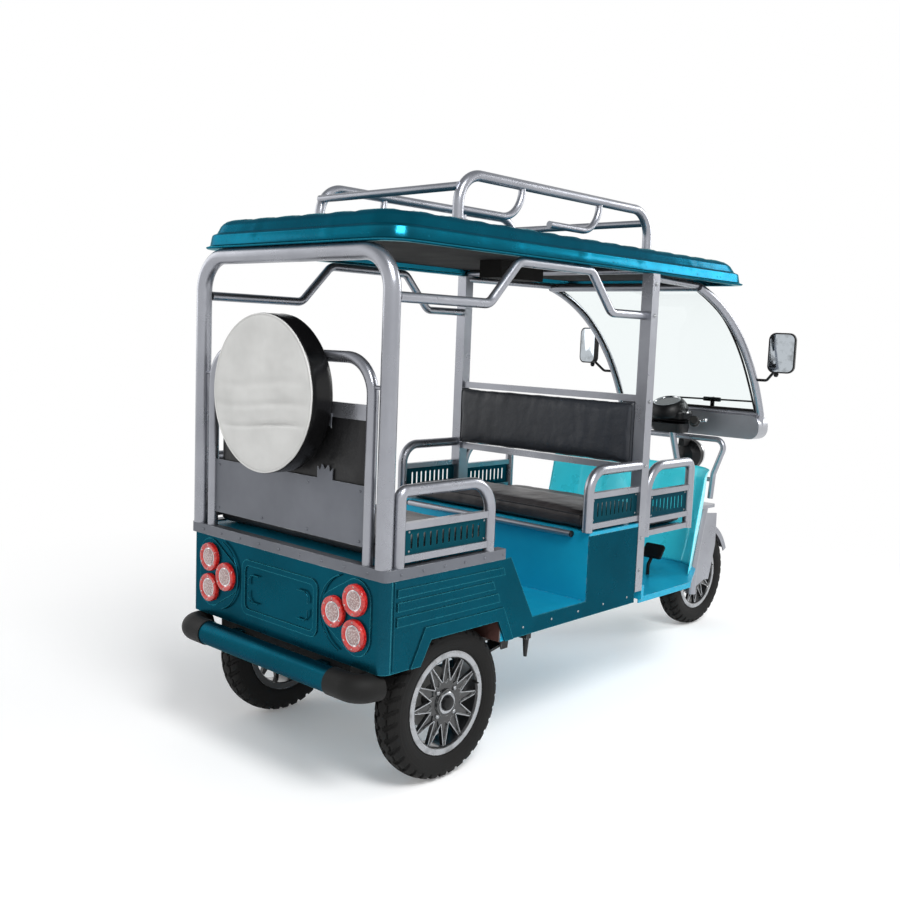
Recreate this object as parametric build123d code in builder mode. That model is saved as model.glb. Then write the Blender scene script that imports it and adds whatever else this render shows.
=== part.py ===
from build123d import *
import math
import os

# Electric passenger rickshaw: a three-wheeler with a sheet-metal body on a tube frame.
# Millimetres. +Y is forward, +X is the vehicle's right, +Z is up, the ground is z = 0.
# The origin is on the ground under the middle of the vehicle's length and width.

# Width of the body, which the frame, roof, seats, axle and lamps follow
half_width = 472

# Wheels and wheelbase
wheel_base = 2200
tyre_radius = 240
half_track = half_width - 86
spare_reach = 403

rear_axle_y = (spare_reach - wheel_base - tyre_radius) / 2
front_axle_y = rear_axle_y + wheel_base

# Clearances: between pieces that rest on each other, and between a shaft and its bore
seat_gap = 0.3
shaft_gap = 0.08

# Sheet body, with its places along the length taken from the rear axle
sheet = 3
proud = 4
body_low = 402
body_top = 668
sill_top = 456
rail_size = 33
rear_face_y = rear_axle_y - 322
quarter_top_y = rear_axle_y + 225
quarter_low_y = rear_axle_y + 347
rail_front_y = rear_axle_y + 191
rear_box_y = rear_axle_y + 195
bench_face_y = rear_axle_y + 645
corner_radius = 28

# Middle posts and the tube frame
post_y = rear_axle_y + 973
post_size = 45
post_low = 441
post_x = half_width - proud - post_size / 2 + 2
hoop_radius = 25
hoop_x = half_width - 30
hoop_bend = 110
side_rail_radius = 15
side_rail_z = 1449
roof_low = 1598
roof_half = half_width - 8
roof_lip = 30

# Floors and chassis
driver_floor_top = 410
driver_floor_thick = 7.7
pan_thick = 8
pan_rib = 16
driver_floor_half = half_width - 17
# Leg shield: half width of its flat front, its corners and its wings, with their places
shield_flat = half_width - 222
shield_half = half_width - 140
shield_wing = half_width - 84
shield_front_y = rear_axle_y + 1690
shield_corner_y = rear_axle_y + 1612
shield_wing_y = rear_axle_y + 1480
shield_margin = 10
member_x = half_width - 172
member_width = 40
member_height = 50

# Seats
board_top = 697
board_thick = 12
guard_x = half_width - 17
guard_radius = 18
cushion_half = guard_x - guard_radius - 12
cushion_thick = 64

# Steering
steer_rake = 24
yoke_back = 92
yoke_z = 585
yoke_thick = 15
stem_radius = 15
stem_top = 985
head_low = 630
head_high = 760
head_wall = 12


def tube(points, bend, radius):
    """Add a round tube along straight runs joined by bends."""
    with BuildLine() as route:
        if len(points) == 2:
            Line(*points)
        else:
            FilletPolyline(*points, radius=bend)
    with BuildSketch(Plane(origin=route.line @ 0, z_dir=route.line % 0)) as ring:
        Circle(radius)
    sweep(ring.sketch, path=route.line)


def block(x, y, z, mode=Mode.ADD):
    """Add a box that spans the given pairs of x, y and z."""
    with BuildSketch(Plane.XY.offset(min(z))) as base:
        with Locations(((x[0] + x[1]) / 2, (y[0] + y[1]) / 2)):
            Rectangle(abs(x[1] - x[0]), abs(y[1] - y[0]))
    extrude(base.sketch, amount=abs(z[1] - z[0]), mode=mode)


def plate(points, x, mode=Mode.ADD):
    """Add a plate with a side-view outline of (y, z) points between two x places."""
    with BuildSketch(Plane.YZ.offset(min(x))) as side:
        with BuildLine():
            Polyline(*points, close=True)
        make_face()
    extrude(side.sketch, amount=abs(x[1] - x[0]), mode=mode)


def rod(start, end, radius, mode=Mode.ADD):
    """Add a round bar from one point to another."""
    axis = Vector(*end) - Vector(*start)
    with BuildSketch(Plane(origin=start, z_dir=axis)) as ring:
        Circle(radius)
    extrude(ring.sketch, amount=axis.length, mode=mode)


def stem_y(z):
    """Place along the length where the steering axis is at height z."""
    yoke_y = front_axle_y - yoke_back
    return yoke_y - (z - yoke_z) * math.tan(math.radians(steer_rake))


def arc_y(ends, z):
    """Place along the length where the arc through three (y, z) points is at height z."""
    (ay, az), (by, bz), (cy, cz) = ends
    twice = 2 * (ay * (bz - cz) + by * (cz - az) + cy * (az - bz))
    a2, b2, c2 = ay ** 2 + az ** 2, by ** 2 + bz ** 2, cy ** 2 + cz ** 2
    mid_y = (a2 * (bz - cz) + b2 * (cz - az) + c2 * (az - bz)) / twice
    mid_z = (a2 * (cy - by) + b2 * (ay - cy) + c2 * (by - ay)) / twice
    return mid_y + math.sqrt((ay - mid_y) ** 2 + (az - mid_z) ** 2 - (z - mid_z) ** 2)


def arc_z(ends, y):
    """Height where the sagging arc through three (y, z) points is at the place y."""
    (ay, az), (by, bz), (cy, cz) = ends
    return -arc_y([(-az, ay), (-bz, by), (-cz, cy)], y)


os.makedirs("parts", exist_ok=True)

# Chassis: long members under the floor, cross members, spring hangers, and tubes to the head tube
member_top = body_low
member_low = member_top - member_height
rear_member_y = rear_face_y + 20
front_member_y = rear_axle_y + 1500
cross_places = [rear_member_y + 20, rear_axle_y + 330, rear_axle_y + 900, front_member_y - 20]
cross_half = 20
down_tube_radius = 19
eye_rear_y = rear_axle_y - 262
eye_front_y = rear_axle_y + 380
eye_z = 326
eye_radius = 12
spring_half = 25
head_radius = stem_radius + shaft_gap + head_wall
peg_y = rear_axle_y + 405
peg_x = member_x + 100

with BuildPart() as chassis_frame:
    for side in (-1, 1):
        x_mid = side * member_x
        block((x_mid - member_width / 2, x_mid + member_width / 2), (rear_member_y, front_member_y),
              (member_low, member_top))
        tube([(x_mid, front_member_y - 60, (member_low + member_top) / 2),
              (side * 190, rear_axle_y + 1760, (member_low + member_top) / 2),
              (side * 130, rear_axle_y + 1890, 600),
              (0, stem_y(700), 700)], 70, down_tube_radius)
        for y in (eye_rear_y, eye_front_y):
            for ear in (-1, 1):
                x_ear = x_mid + ear * (spring_half + seat_gap + 2.5)
                plate([(y - 16, eye_z - 16), (y + 16, eye_z - 16), (y + 24, member_low + 5),
                       (y - 24, member_low + 5)], (x_ear - 2.5, x_ear + 2.5))
            block((x_mid - spring_half - 5, x_mid + spring_half + 5), (y - 24, y + 24),
                  (member_low, member_low + 5))
        block((side * member_x, side * (peg_x + 12)), (peg_y - 12, peg_y + 12),
              (member_low + 6, member_top - 6))
        with BuildSketch(Plane.XY.offset(296)) as peg_tip:
            with Locations((side * peg_x, peg_y)):
                Circle(6)
        with BuildSketch(Plane.XY.offset(member_low + 6)) as peg_root:
            with Locations((side * peg_x, peg_y)):
                Circle(11)
        loft([peg_tip.sketch.face(), peg_root.sketch.face()])
    for y in cross_places:
        block((-member_x, member_x), (y - cross_half, y + cross_half), (member_low, member_top))
    rod((0, stem_y(head_low), head_low), (0, stem_y(head_high), head_high), head_radius)
    rod((0, stem_y(head_low - 60), head_low - 60), (0, stem_y(head_high + 60), head_high + 60),
        stem_radius + shaft_gap, mode=Mode.SUBTRACT)
chassis_frame.part.label = "chassis_frame"
export_step(chassis_frame.part, "parts/chassis_frame.step")

# Floor: the passenger floor on ribs, the riser, and the driver's lower floor with turned edges
inner_half = half_width - proud - sheet - seat_gap
floor_back_y = rear_axle_y + 192
riser_y = post_y + post_size / 2 + 24
edge_drop = 22
driver_floor_corner_y = rear_axle_y + 1385

with BuildPart() as floor_pan:
    block((-inner_half, inner_half), (floor_back_y, riser_y), (sill_top - pan_thick, sill_top))
    for y in (floor_back_y, rear_axle_y + 420, rear_axle_y + 640, riser_y - pan_rib):
        block((-inner_half, inner_half), (y, y + pan_rib), (member_top + seat_gap, sill_top))
    with BuildSketch(Plane.XY.offset(member_top + seat_gap)) as driver_plate:
        with BuildLine():
            Polyline((-driver_floor_half, riser_y - pan_rib), (driver_floor_half, riser_y - pan_rib),
                     (driver_floor_half, driver_floor_corner_y),
                     (shield_half + shield_margin, shield_corner_y + shield_margin),
                     (shield_flat + shield_margin, shield_front_y + shield_margin),
                     (-shield_flat - shield_margin, shield_front_y + shield_margin),
                     (-shield_half - shield_margin, shield_corner_y + shield_margin),
                     (-driver_floor_half, driver_floor_corner_y), close=True)
        make_face()
    extrude(driver_plate.sketch, amount=driver_floor_thick)
    for side in (-1, 1):
        block((side * driver_floor_half, side * (driver_floor_half - 5)),
              (riser_y - pan_rib, driver_floor_corner_y),
              (driver_floor_top - edge_drop, driver_floor_top))
        block((side * (post_x - post_size / 2 - seat_gap), side * half_width),
              (post_y - post_size / 2 - seat_gap, post_y + post_size / 2 + seat_gap),
              (post_low - seat_gap, sill_top + 1), mode=Mode.SUBTRACT)
    block((-member_x - 25, member_x + 25), (rear_face_y + sheet + proud + 1, floor_back_y),
          (member_top + seat_gap, member_top + 4))
floor_pan.part.label = "floor_pan"
export_step(floor_pan.part, "parts/floor_pan.step")

# Rear panel: a sheet wrapped round both corners, with raised lamp pads and a framed middle
lamp_radius = 47
lamp_places = [(half_width - 116, 599), (half_width - 206, 548), (half_width - 116, 497)]
pad_margin = 14
frame_half = half_width - 286
frame_height = 176
frame_band = 18

with BuildPart() as rear_panel:
    with BuildSketch(Plane.XY.offset(body_low)) as wrap:
        with Locations((0, rear_face_y + proud + 60)):
            RectangleRounded(2 * (half_width - proud), 120, corner_radius)
        with Locations((0, rear_face_y + proud + 60)):
            RectangleRounded(2 * (half_width - proud - sheet), 120 - 2 * sheet,
                             corner_radius - sheet, mode=Mode.SUBTRACT)
        with Locations((0, rear_face_y + proud + corner_radius + 100)):
            Rectangle(2 * half_width + 10, 200, mode=Mode.SUBTRACT)
    extrude(wrap.sketch, amount=body_top - body_low)
    with BuildSketch(Plane.XZ.offset(-rear_face_y - proud - sheet / 2)) as pads:
        for side in (-1, 1):
            with BuildSketch() as pad:
                with BuildLine():
                    corners = [(side * x, z) for x, z in lamp_places]
                    Polyline(*corners, close=True)
                make_face()
                offset(amount=lamp_radius + pad_margin)
            add(pad.sketch)
        with Locations((0, (body_low + body_top) / 2)):
            RectangleRounded(2 * frame_half, frame_height, 30)
            RectangleRounded(2 * (frame_half - frame_band), frame_height - 2 * frame_band, 18,
                             mode=Mode.SUBTRACT)
    extrude(pads.sketch, amount=proud + sheet / 2)
rear_panel.part.label = "rear_panel"
export_step(rear_panel.part, "parts/rear_panel.step")

# Side panels: one sheet a side from the rear corner to the middle post, with the wheel arch cut out,
# a raised band round the arch and pressed swages above it
arch_back = rear_axle_y - 171
arch_back_top = rear_axle_y - 130
arch_front_top = rear_axle_y + 171
arch_front = rear_axle_y + 209
arch_top = 474
arch_band = 40
side_back_y = rear_face_y + proud + corner_radius + seat_gap
side_front_y = post_y - post_size / 2 - seat_gap
side_box_top = board_top - board_thick - seat_gap
side_outline = [(side_back_y, body_low), (arch_back, body_low), (arch_back_top, arch_top),
                (arch_front_top, arch_top), (arch_front, body_low), (side_front_y, body_low),
                (side_front_y, side_box_top), (bench_face_y, side_box_top),
                (bench_face_y, sill_top), (quarter_low_y, sill_top), (quarter_top_y, body_top),
                (side_back_y, body_top)]
arch_band_outline = [(arch_back - arch_band, body_low), (arch_back, body_low),
                     (arch_back_top, arch_top), (arch_front_top, arch_top),
                     (arch_front, body_low), (arch_front + arch_band, body_low),
                     (arch_front_top + 24, arch_top + arch_band),
                     (arch_back_top - 24, arch_top + arch_band)]
# Swages: rear end, front end, low edge, high edge
swages = [(-270, 196, 618, 642), (-270, 150, 578, 604), (-270, 176, 534, 562)]

with BuildPart() as side_panels:
    for side in (-1, 1):
        outer = side * (half_width - proud)
        plate(side_outline, (outer, outer - side * sheet))
        plate(arch_band_outline, (outer, side * half_width))
        for back, front, low, high in swages:
            plate([(rear_axle_y + back, low), (rear_axle_y + front, low),
                   (rear_axle_y + front - 10, high), (rear_axle_y + back, high)],
                  (outer, side * half_width))
side_panels.part.label = "side_panels"
export_step(side_panels.part, "parts/side_panels.step")

# Body rail: square tube along the top of both sides and the rear, and the bench's front rail
rail_top = body_top + rail_size
bench_rail_radius = 11

with BuildPart() as body_rail:
    for side in (-1, 1):
        block((side * half_width, side * (half_width - rail_size)), (rear_face_y, rail_front_y),
              (body_top, rail_top))
    block((-half_width, half_width), (rear_face_y, rear_face_y + rail_size), (body_top, rail_top))
    fillet(body_rail.edges().filter_by(Axis.Z).group_by(Axis.Y)[0], 14)
body_rail.part.label = "body_rail"
export_step(body_rail.part, "parts/body_rail.step")

# Seat boxes: the rear box, the bench box and the pedestal under the driver's seat
board_half = half_width - rail_size - 1
driver_board_top = 652
pedestal_half = half_width - 192
pedestal_front_y = rear_axle_y + 1290

with BuildPart() as seat_boxes:
    block((-inner_half, inner_half), (rear_box_y - sheet, rear_box_y),
          (sill_top + seat_gap, body_top))
    block((-board_half, board_half), (rear_box_y - sheet, rear_box_y), (body_top, board_top))
    block((-board_half, board_half), (rear_face_y + rail_size + 1, rear_box_y),
          (board_top - board_thick, board_top))
    block((-inner_half, inner_half), (bench_face_y, bench_face_y + sheet),
          (sill_top + seat_gap, board_top))
    block((-half_width + proud, half_width - proud), (bench_face_y, side_front_y),
          (board_top - board_thick, board_top))
    block((-pedestal_half, pedestal_half), (riser_y + seat_gap, pedestal_front_y),
          (driver_floor_top + seat_gap, driver_board_top - board_thick))
    block((-cushion_half, cushion_half), (riser_y + seat_gap, rear_axle_y + 1335),
          (driver_board_top - board_thick, driver_board_top))
    for side in (-1, 1):
        block((side * cushion_half, side * (cushion_half - sheet)), (riser_y + seat_gap, riser_y + 48),
              (driver_floor_top + seat_gap, driver_board_top - board_thick))
seat_boxes.part.label = "seat_boxes"
export_step(seat_boxes.part, "parts/seat_boxes.step")

# Wheel tubs: inner arch sheets that close the body over the rear tyres
tub_inner = member_x + member_width / 2 + 6
tub_outline = [(-200, body_low + seat_gap), (-200, 470), (-110, 508), (110, 508), (189, 470),
               (189, body_low + seat_gap)]
tub_hollow = [(-200 + sheet, body_low), (-200 + sheet, 468), (-110, 505), (110, 505),
              (189 - sheet, 468), (189 - sheet, body_low)]

with BuildPart() as wheel_tubs:
    for side in (-1, 1):
        tub_out = side * inner_half
        plate([(rear_axle_y + y, z) for y, z in tub_outline], (side * tub_inner, tub_out))
        plate([(rear_axle_y + y, z) for y, z in tub_hollow],
              (side * (tub_inner + sheet), side * (inner_half + 1)), mode=Mode.SUBTRACT)
wheel_tubs.part.label = "wheel_tubs"
export_step(wheel_tubs.part, "parts/wheel_tubs.step")

# Rear hoop: one bent tube from rail to rail under the back of the roof, with the lower hoop and
# cross bar of the seat's back welded inside it
hoop_y = rear_face_y + 20
hoop_z = roof_low - hoop_radius - seat_gap
back_half = hoop_x - 64
back_radius = 17
back_top = rail_top + 578
back_bend = 105
back_bar_z = back_top - 151
back_bar_half = 22
back_tie_z = back_top - 79

with BuildPart() as rear_hoop:
    tube([(-hoop_x, hoop_y, rail_top), (-hoop_x, hoop_y, hoop_z), (hoop_x, hoop_y, hoop_z),
          (hoop_x, hoop_y, rail_top)], hoop_bend, hoop_radius)
    tube([(-back_half, hoop_y, rail_top), (-back_half, hoop_y, back_top),
          (back_half, hoop_y, back_top), (back_half, hoop_y, rail_top)], back_bend, back_radius)
    block((-back_half, back_half), (hoop_y - 8, hoop_y + 4),
          (back_bar_z - back_bar_half, back_bar_z + back_bar_half))
    for side in (-1, 1):
        rod((side * back_half, hoop_y, back_tie_z), (side * hoop_x, hoop_y, back_tie_z), 6)
rear_hoop.part.label = "rear_hoop"
export_step(rear_hoop.part, "parts/rear_hoop.step")

# Roof frame: middle posts, the raised side rails, and bearers to the windscreen's top
side_rail_top = roof_low - side_rail_radius - seat_gap
bearer_radius = 12
arch_x = half_width - 107
arch_radius = 17
arch_top_y = rear_axle_y + 1455

with BuildPart() as roof_frame:
    for side in (-1, 1):
        block((side * post_x - post_size / 2, side * post_x + post_size / 2),
              (post_y - post_size / 2, post_y + post_size / 2), (post_low, roof_low - seat_gap))
        tube([(side * (hoop_x - 2), hoop_y + hoop_radius + seat_gap, side_rail_z),
              (side * (hoop_x - 2), rear_axle_y + 100, side_rail_z),
              (side * (hoop_x - 2), rear_axle_y + 232, side_rail_top),
              (side * (hoop_x - 2), rear_axle_y + 614, side_rail_top),
              (side * (hoop_x - 2), rear_axle_y + 742, side_rail_z),
              (side * (hoop_x - 2), post_y, side_rail_z)], 45, side_rail_radius)
        tube([(side * (hoop_x - 6), post_y, roof_low - bearer_radius - seat_gap),
              (side * arch_x, arch_top_y - arch_radius - seat_gap, roof_low - bearer_radius - seat_gap)],
             0, bearer_radius)
    cross_half_length = roof_half - roof_lip - 2
    rod((-cross_half_length, post_y, roof_low + bearer_radius),
        (cross_half_length, post_y, roof_low + bearer_radius), bearer_radius)
    for side in (-1, 1):
        block((side * (post_x - post_size / 2), side * cross_half_length),
              (post_y - bearer_radius, post_y + bearer_radius),
              (roof_low - 5, roof_low + bearer_radius))
roof_frame.part.label = "roof_frame"
export_step(roof_frame.part, "parts/roof_frame.step")

# Roof shell: a moulded sheet lofted between rounded plans, hollow and open below
roof_rear_y = rear_axle_y - 326
roof_front_y = rear_axle_y + 1700
roof_skin = 5
# Sections: height above the lip, inset at the sides, at the rear and at the front, corner radius
roof_sections = [(0, 0, 0, 0, 62), (5, 0, 0, 0, 62), (8, 13, 13, 16, 56), (62, 34, 30, 60, 52),
                 (86, 74, 66, 130, 60), (101, 190, 170, 300, 70)]


def roof_plan(height, side_in, rear_in, front_in, radius, shrink, drop):
    """Rounded plan of the roof at one height, taken in by shrink and lowered by drop."""
    back = roof_rear_y + rear_in + shrink
    front = roof_front_y - front_in - shrink
    with BuildSketch(Plane.XY.offset(roof_low + height - drop)) as plan:
        with Locations((0, (back + front) / 2)):
            RectangleRounded(2 * (roof_half - side_in - shrink), front - back, radius)
    return plan.sketch.face()


with BuildPart() as roof_shell:
    loft([roof_plan(*section, 0, 0) for section in roof_sections], ruled=True)
    inner = roof_sections[2:]
    loft([roof_plan(inner[0][0], *inner[0][1:], roof_skin, 3)]
         + [roof_plan(*section, roof_skin, roof_skin) for section in inner[1:]], ruled=True,
         mode=Mode.SUBTRACT)
    loft([roof_plan(-1, *roof_sections[0][1:], roof_lip, 0),
          roof_plan(6, *roof_sections[0][1:], roof_lip, 0)], ruled=True, mode=Mode.SUBTRACT)
roof_shell.part.label = "roof_shell"
export_step(roof_shell.part, "parts/roof_shell.step")

# Roof lining: a dark board inside the shell, with the black box that hangs from it
lining_z = roof_low + 2 * bearer_radius + seat_gap
lining_thick = 4
lining_box_x = 50
lining_box_y = rear_axle_y + 670

with BuildPart() as roof_lining:
    with BuildSketch(Plane.XY.offset(lining_z)) as board:
        with Locations((0, (roof_rear_y + roof_front_y) / 2)):
            RectangleRounded(2 * (roof_half - 40), roof_front_y - roof_rear_y - 90, 40)
    extrude(board.sketch, amount=lining_thick)
    block((lining_box_x - 50, lining_box_x + 50), (lining_box_y - 120, lining_box_y + 120),
          (lining_z - 62, lining_z))
roof_lining.part.label = "roof_lining"
export_step(roof_lining.part, "parts/roof_lining.step")

# Luggage rack: a bent loop on each side, cross bars and upswept stays
rack_x = roof_half - 142
rack_rear_y = rear_axle_y + 75
rack_front_y = rear_axle_y + 1125
rack_top = roof_low + 240
rack_radius = 17
rack_bend = 95
rack_bar_z = rack_top - 41
shoulder, crown = roof_sections[-2], roof_sections[-1]
rack_slope = (crown[0] - shoulder[0]) / (crown[1] - shoulder[1])
rack_foot_z = (roof_low + shoulder[0] + seat_gap
               + (roof_half - shoulder[1] - rack_x + rack_radius) * rack_slope)
rack_low_z = rack_foot_z + 0.243 * (rack_top - rack_foot_z)
rack_stay_bend = 0.88 * (rack_top - rack_low_z)

with BuildPart() as roof_rack:
    for side in (-1, 1):
        tube([(side * rack_x, rack_rear_y, rack_foot_z), (side * rack_x, rack_rear_y, rack_top),
              (side * rack_x, rack_front_y, rack_top), (side * rack_x, rack_front_y, rack_foot_z)],
             rack_bend, rack_radius)
        for back, front in ((0, 300), (450, 730)):
            tube([(side * rack_x, rack_rear_y + back, rack_low_z),
                  (side * rack_x, rack_rear_y + front, rack_low_z),
                  (side * rack_x, rack_rear_y + front, rack_top)], rack_stay_bend, 12)
    for y in (rack_rear_y, rack_front_y):
        tube([(-rack_x, y, rack_bar_z), (rack_x, y, rack_bar_z)], 0, 13)
roof_rack.part.label = "roof_rack"
export_step(roof_rack.part, "parts/roof_rack.step")

# Windscreen frame: two bent arch tubes with a top bar and a bottom bar
arch_foot_y = rear_axle_y + 2072
arch_foot_z = 1052
arch_mid_y = rear_axle_y + 1813
arch_mid_z = 1401
arch_top_z = roof_low - arch_radius - seat_gap
arch_foot_low = 985
arch_points = [(arch_top_y, arch_top_z), (arch_mid_y, arch_mid_z), (arch_foot_y, arch_foot_z)]
glass_thick = 5

# Front stay, built with the windscreen frame: a bent tube on the nose that carries the cowl
stay_y = rear_axle_y + 2040
stay_z = 925
stay_half = 229
stay_radius = 13
stay_low = 650
brace_radius = 10
stem_brace_z = head_low + (stem_y(head_low) - stay_y) / math.tan(math.radians(steer_rake))

with BuildPart() as windscreen_frame:
    for side in (-1, 1):
        with BuildLine() as arch:
            ThreePointArc(*[(side * arch_x, y, z) for y, z in arch_points])
        with BuildSketch(Plane(origin=arch.line @ 0, z_dir=arch.line % 0)) as ring:
            Circle(arch_radius)
        sweep(ring.sketch, path=arch.line)
        rod((side * arch_x, arch_foot_y, arch_foot_z), (side * arch_x, arch_foot_y, arch_foot_low),
            arch_radius)
    rod((-arch_x, arch_top_y, arch_top_z), (arch_x, arch_top_y, arch_top_z), arch_radius)
    rod((-arch_x, arch_foot_y, arch_foot_z), (arch_x, arch_foot_y, arch_foot_z), arch_radius)
    tube([(-164, stay_y, stay_low), (-172, stay_y, 765), (-stay_half, stay_y, stay_z),
          (stay_half, stay_y, stay_z), (172, stay_y, 765), (164, stay_y, stay_low)], 38, stay_radius)
    for side in (-1, 1):
        rod((side * (head_radius + seat_gap), stay_y, stem_brace_z), (side * 164, stay_y, stem_brace_z),
            brace_radius)
windscreen_frame.part.label = "windscreen_frame"
export_step(windscreen_frame.part, "parts/windscreen_frame.step")

# Windscreen glass: a curved sheet that follows the arches between the two bars
glass_half = arch_x - arch_radius - seat_gap

with BuildPart() as windscreen_glass:
    with BuildSketch(Plane.YZ.offset(-glass_half)) as band:
        with BuildLine():
            ThreePointArc(*arch_points)
        trace(line_width=glass_thick)
    extrude(band.sketch, amount=2 * glass_half)
    for y, z in ((arch_top_y, arch_top_z), (arch_foot_y, arch_foot_z)):
        rod((-arch_x, y, z), (arch_x, y, z), arch_radius + seat_gap, mode=Mode.SUBTRACT)
windscreen_glass.part.label = "windscreen_glass"
export_step(windscreen_glass.part, "parts/windscreen_glass.step")

# Cowl: a pressed channel under the windscreen, open towards the driver, resting on the stay
cowl_low = stay_z + stay_radius + seat_gap
cowl_depth = 52
cowl_sheet = 4

with BuildPart() as cowl:
    with BuildSketch(Plane.YZ.offset(-glass_half)) as channel:
        with BuildLine():
            Polyline((stay_y - 6, cowl_low + cowl_sheet / 2),
                     (arch_foot_y + cowl_depth - 20, cowl_low + cowl_sheet / 2),
                     (arch_foot_y + cowl_depth, cowl_low + 44),
                     (arch_foot_y + cowl_depth - 8, arch_foot_z - 10),
                     (arch_foot_y + arch_radius + 4, arch_foot_z - 4))
        trace(line_width=cowl_sheet)
    extrude(channel.sketch, amount=2 * glass_half)
    fillet(cowl.edges().filter_by(Axis.Y).group_by(Axis.Z)[0], 1)
cowl.part.label = "cowl"
export_step(cowl.part, "parts/cowl.step")

# Wiper: a hub on the bottom bar in front of the glass, with its long blade
wiper_y = arch_foot_y - 4
wiper_z = 1106
wiper_x = arch_x - 239

with BuildPart() as wiper:
    block((wiper_x - 44, wiper_x + 44), (wiper_y - 9, wiper_y + 9), (wiper_z - 9, wiper_z + 11))
    fillet(wiper.edges(), 6)
    block((wiper_x - 9, wiper_x + 9), (wiper_y + 2, wiper_y + 9),
          (arch_foot_z + arch_radius + seat_gap, wiper_z))
    rod((arch_x - 423, wiper_y, wiper_z - 2), (arch_x - 37, wiper_y, wiper_z + 4), 4)
wiper.part.label = "wiper"
export_step(wiper.part, "parts/wiper.step")

# Leg shield: a moulded sheet in front of the driver's legs, raked forward at the top
shield_top = 826
shield_low = driver_floor_top + seat_gap
shield_rake = 0.22
shield_sheet = 4
shield_plan_points = [(-shield_wing, shield_wing_y), (-shield_half, shield_corner_y),
                      (-shield_flat, shield_front_y), (shield_flat, shield_front_y),
                      (shield_half, shield_corner_y), (shield_wing, shield_wing_y)]

with BuildPart() as leg_shield:
    with BuildSketch(Plane.XY.offset(shield_low)) as shield_plan:
        with BuildLine():
            FilletPolyline(*shield_plan_points, radius=60)
        trace(line_width=shield_sheet)
    extrude(shield_plan.sketch, amount=(shield_top - shield_low) * math.hypot(1, shield_rake),
            dir=(0, shield_rake, 1))
leg_shield.part.label = "leg_shield"
export_step(leg_shield.part, "parts/leg_shield.step")

# Headlamp: a round housing with a domed back, hung from the stay's top run by a tab
lamp_y = rear_axle_y + 2095
lamp_z = 835
headlamp_radius = 70

with BuildPart() as headlamp:
    with BuildSketch(Plane.YZ) as lamp_half:
        with BuildLine():
            Polyline((lamp_y + 52, lamp_z), (lamp_y + 45, lamp_z + headlamp_radius - 8),
                     (lamp_y + 38, lamp_z + headlamp_radius), (lamp_y + 4, lamp_z + headlamp_radius),
                     (lamp_y - 30, lamp_z + 44), (lamp_y - 42, lamp_z), close=True)
        make_face()
    revolve(lamp_half.sketch, axis=Axis((0, 0, lamp_z), (0, 1, 0)))
    block((-14, 14), (stay_y - 8, lamp_y + 10), (lamp_z + 44, stay_z - stay_radius - seat_gap))
headlamp.part.label = "headlamp"
export_step(headlamp.part, "parts/headlamp.step")

# Mirrors: a stem from each arch and a rounded housing that faces the driver
mirror_x = half_width + 25
mirror_y = rear_axle_y + 1948
mirror_z = 1331

mirror_stem_z = 1210
mirror_stem_radius = 6

with BuildPart() as mirrors:
    for side in (-1, 1):
        stem_root_y = arc_y(arch_points, mirror_stem_z)
        tube([(side * (arch_x + arch_radius + seat_gap), stem_root_y, mirror_stem_z),
              (side * (mirror_x - 72), stem_root_y, mirror_stem_z),
              (side * (mirror_x - 19), mirror_y + 14, mirror_z - 69),
              (side * (mirror_x - 19), mirror_y + 14, mirror_z - 21)], 18, mirror_stem_radius)
        face_plane = Plane(origin=(side * mirror_x, mirror_y + 22, mirror_z),
                           x_dir=(1, side * 0.25, 0), z_dir=(side * 0.25, -1, 0))
        with BuildSketch(face_plane) as housing:
            RectangleRounded(112, 172, 30)
        extrude(housing.sketch, amount=24)
mirrors.part.label = "mirrors"
export_step(mirrors.part, "parts/mirrors.step")

# Back panels: the lower grey sheet and the crown-shaped tabs on it and under the cross bar
panel_half = back_half - back_radius - seat_gap
panel_low = rail_top + 47
panel_top = panel_low + 174
# Crown tab: half outline from its middle as x, height above its edge
crown_tab = [(-34, 0), (-34, 34), (-22, 22), (-14, 42), (0, 26), (14, 42), (22, 22), (34, 34), (34, 0)]
tab_places = [-185, 185]

with BuildPart() as back_panel:
    with BuildSketch(Plane.XZ.offset(-hoop_y - 1)) as outline:
        with Locations((0, (panel_low + panel_top) / 2)):
            Rectangle(2 * panel_half, panel_top - panel_low)
        for x in tab_places:
            with Locations((x, panel_top)):
                Polygon(*crown_tab, align=None)
    extrude(outline.sketch, amount=sheet)
    with BuildSketch(Plane.XZ.offset(-hoop_y + 8 + seat_gap)) as hangers:
        for x in tab_places:
            with Locations((x, back_bar_z - back_bar_half + 10)):
                Polygon(*[(u, -v - 8 if v else v) for u, v in crown_tab], align=None)
    extrude(hangers.sketch, amount=sheet)
back_panel.part.label = "back_panel"
export_step(back_panel.part, "parts/back_panel.step")

# Cushions: plain closed solids for the rear seat, its back, the bench, its back and the driver
back_pad_front_y = hoop_y + 62

with BuildPart() as back_pad:
    block((-panel_half + 8, panel_half - 8), (hoop_y + 4 + seat_gap, back_pad_front_y),
          (board_top + cushion_thick - 20, back_bar_z + 16))
back_pad.part.label = "back_pad"
export_step(back_pad.part, "parts/back_pad.step")

with BuildPart() as rear_cushion:
    block((-cushion_half, cushion_half), (back_pad_front_y + seat_gap, rear_box_y + 8),
          (board_top + seat_gap, board_top + cushion_thick))
    fillet(rear_cushion.edges().filter_by(Axis.Z), 20)
rear_cushion.part.label = "rear_cushion"
export_step(rear_cushion.part, "parts/rear_cushion.step")

bench_back_low = 906
bench_back_top = 1138
pad_rear_y = rear_axle_y + 936
pad_front_y = rear_axle_y + 990
divider_rail = 24

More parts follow.
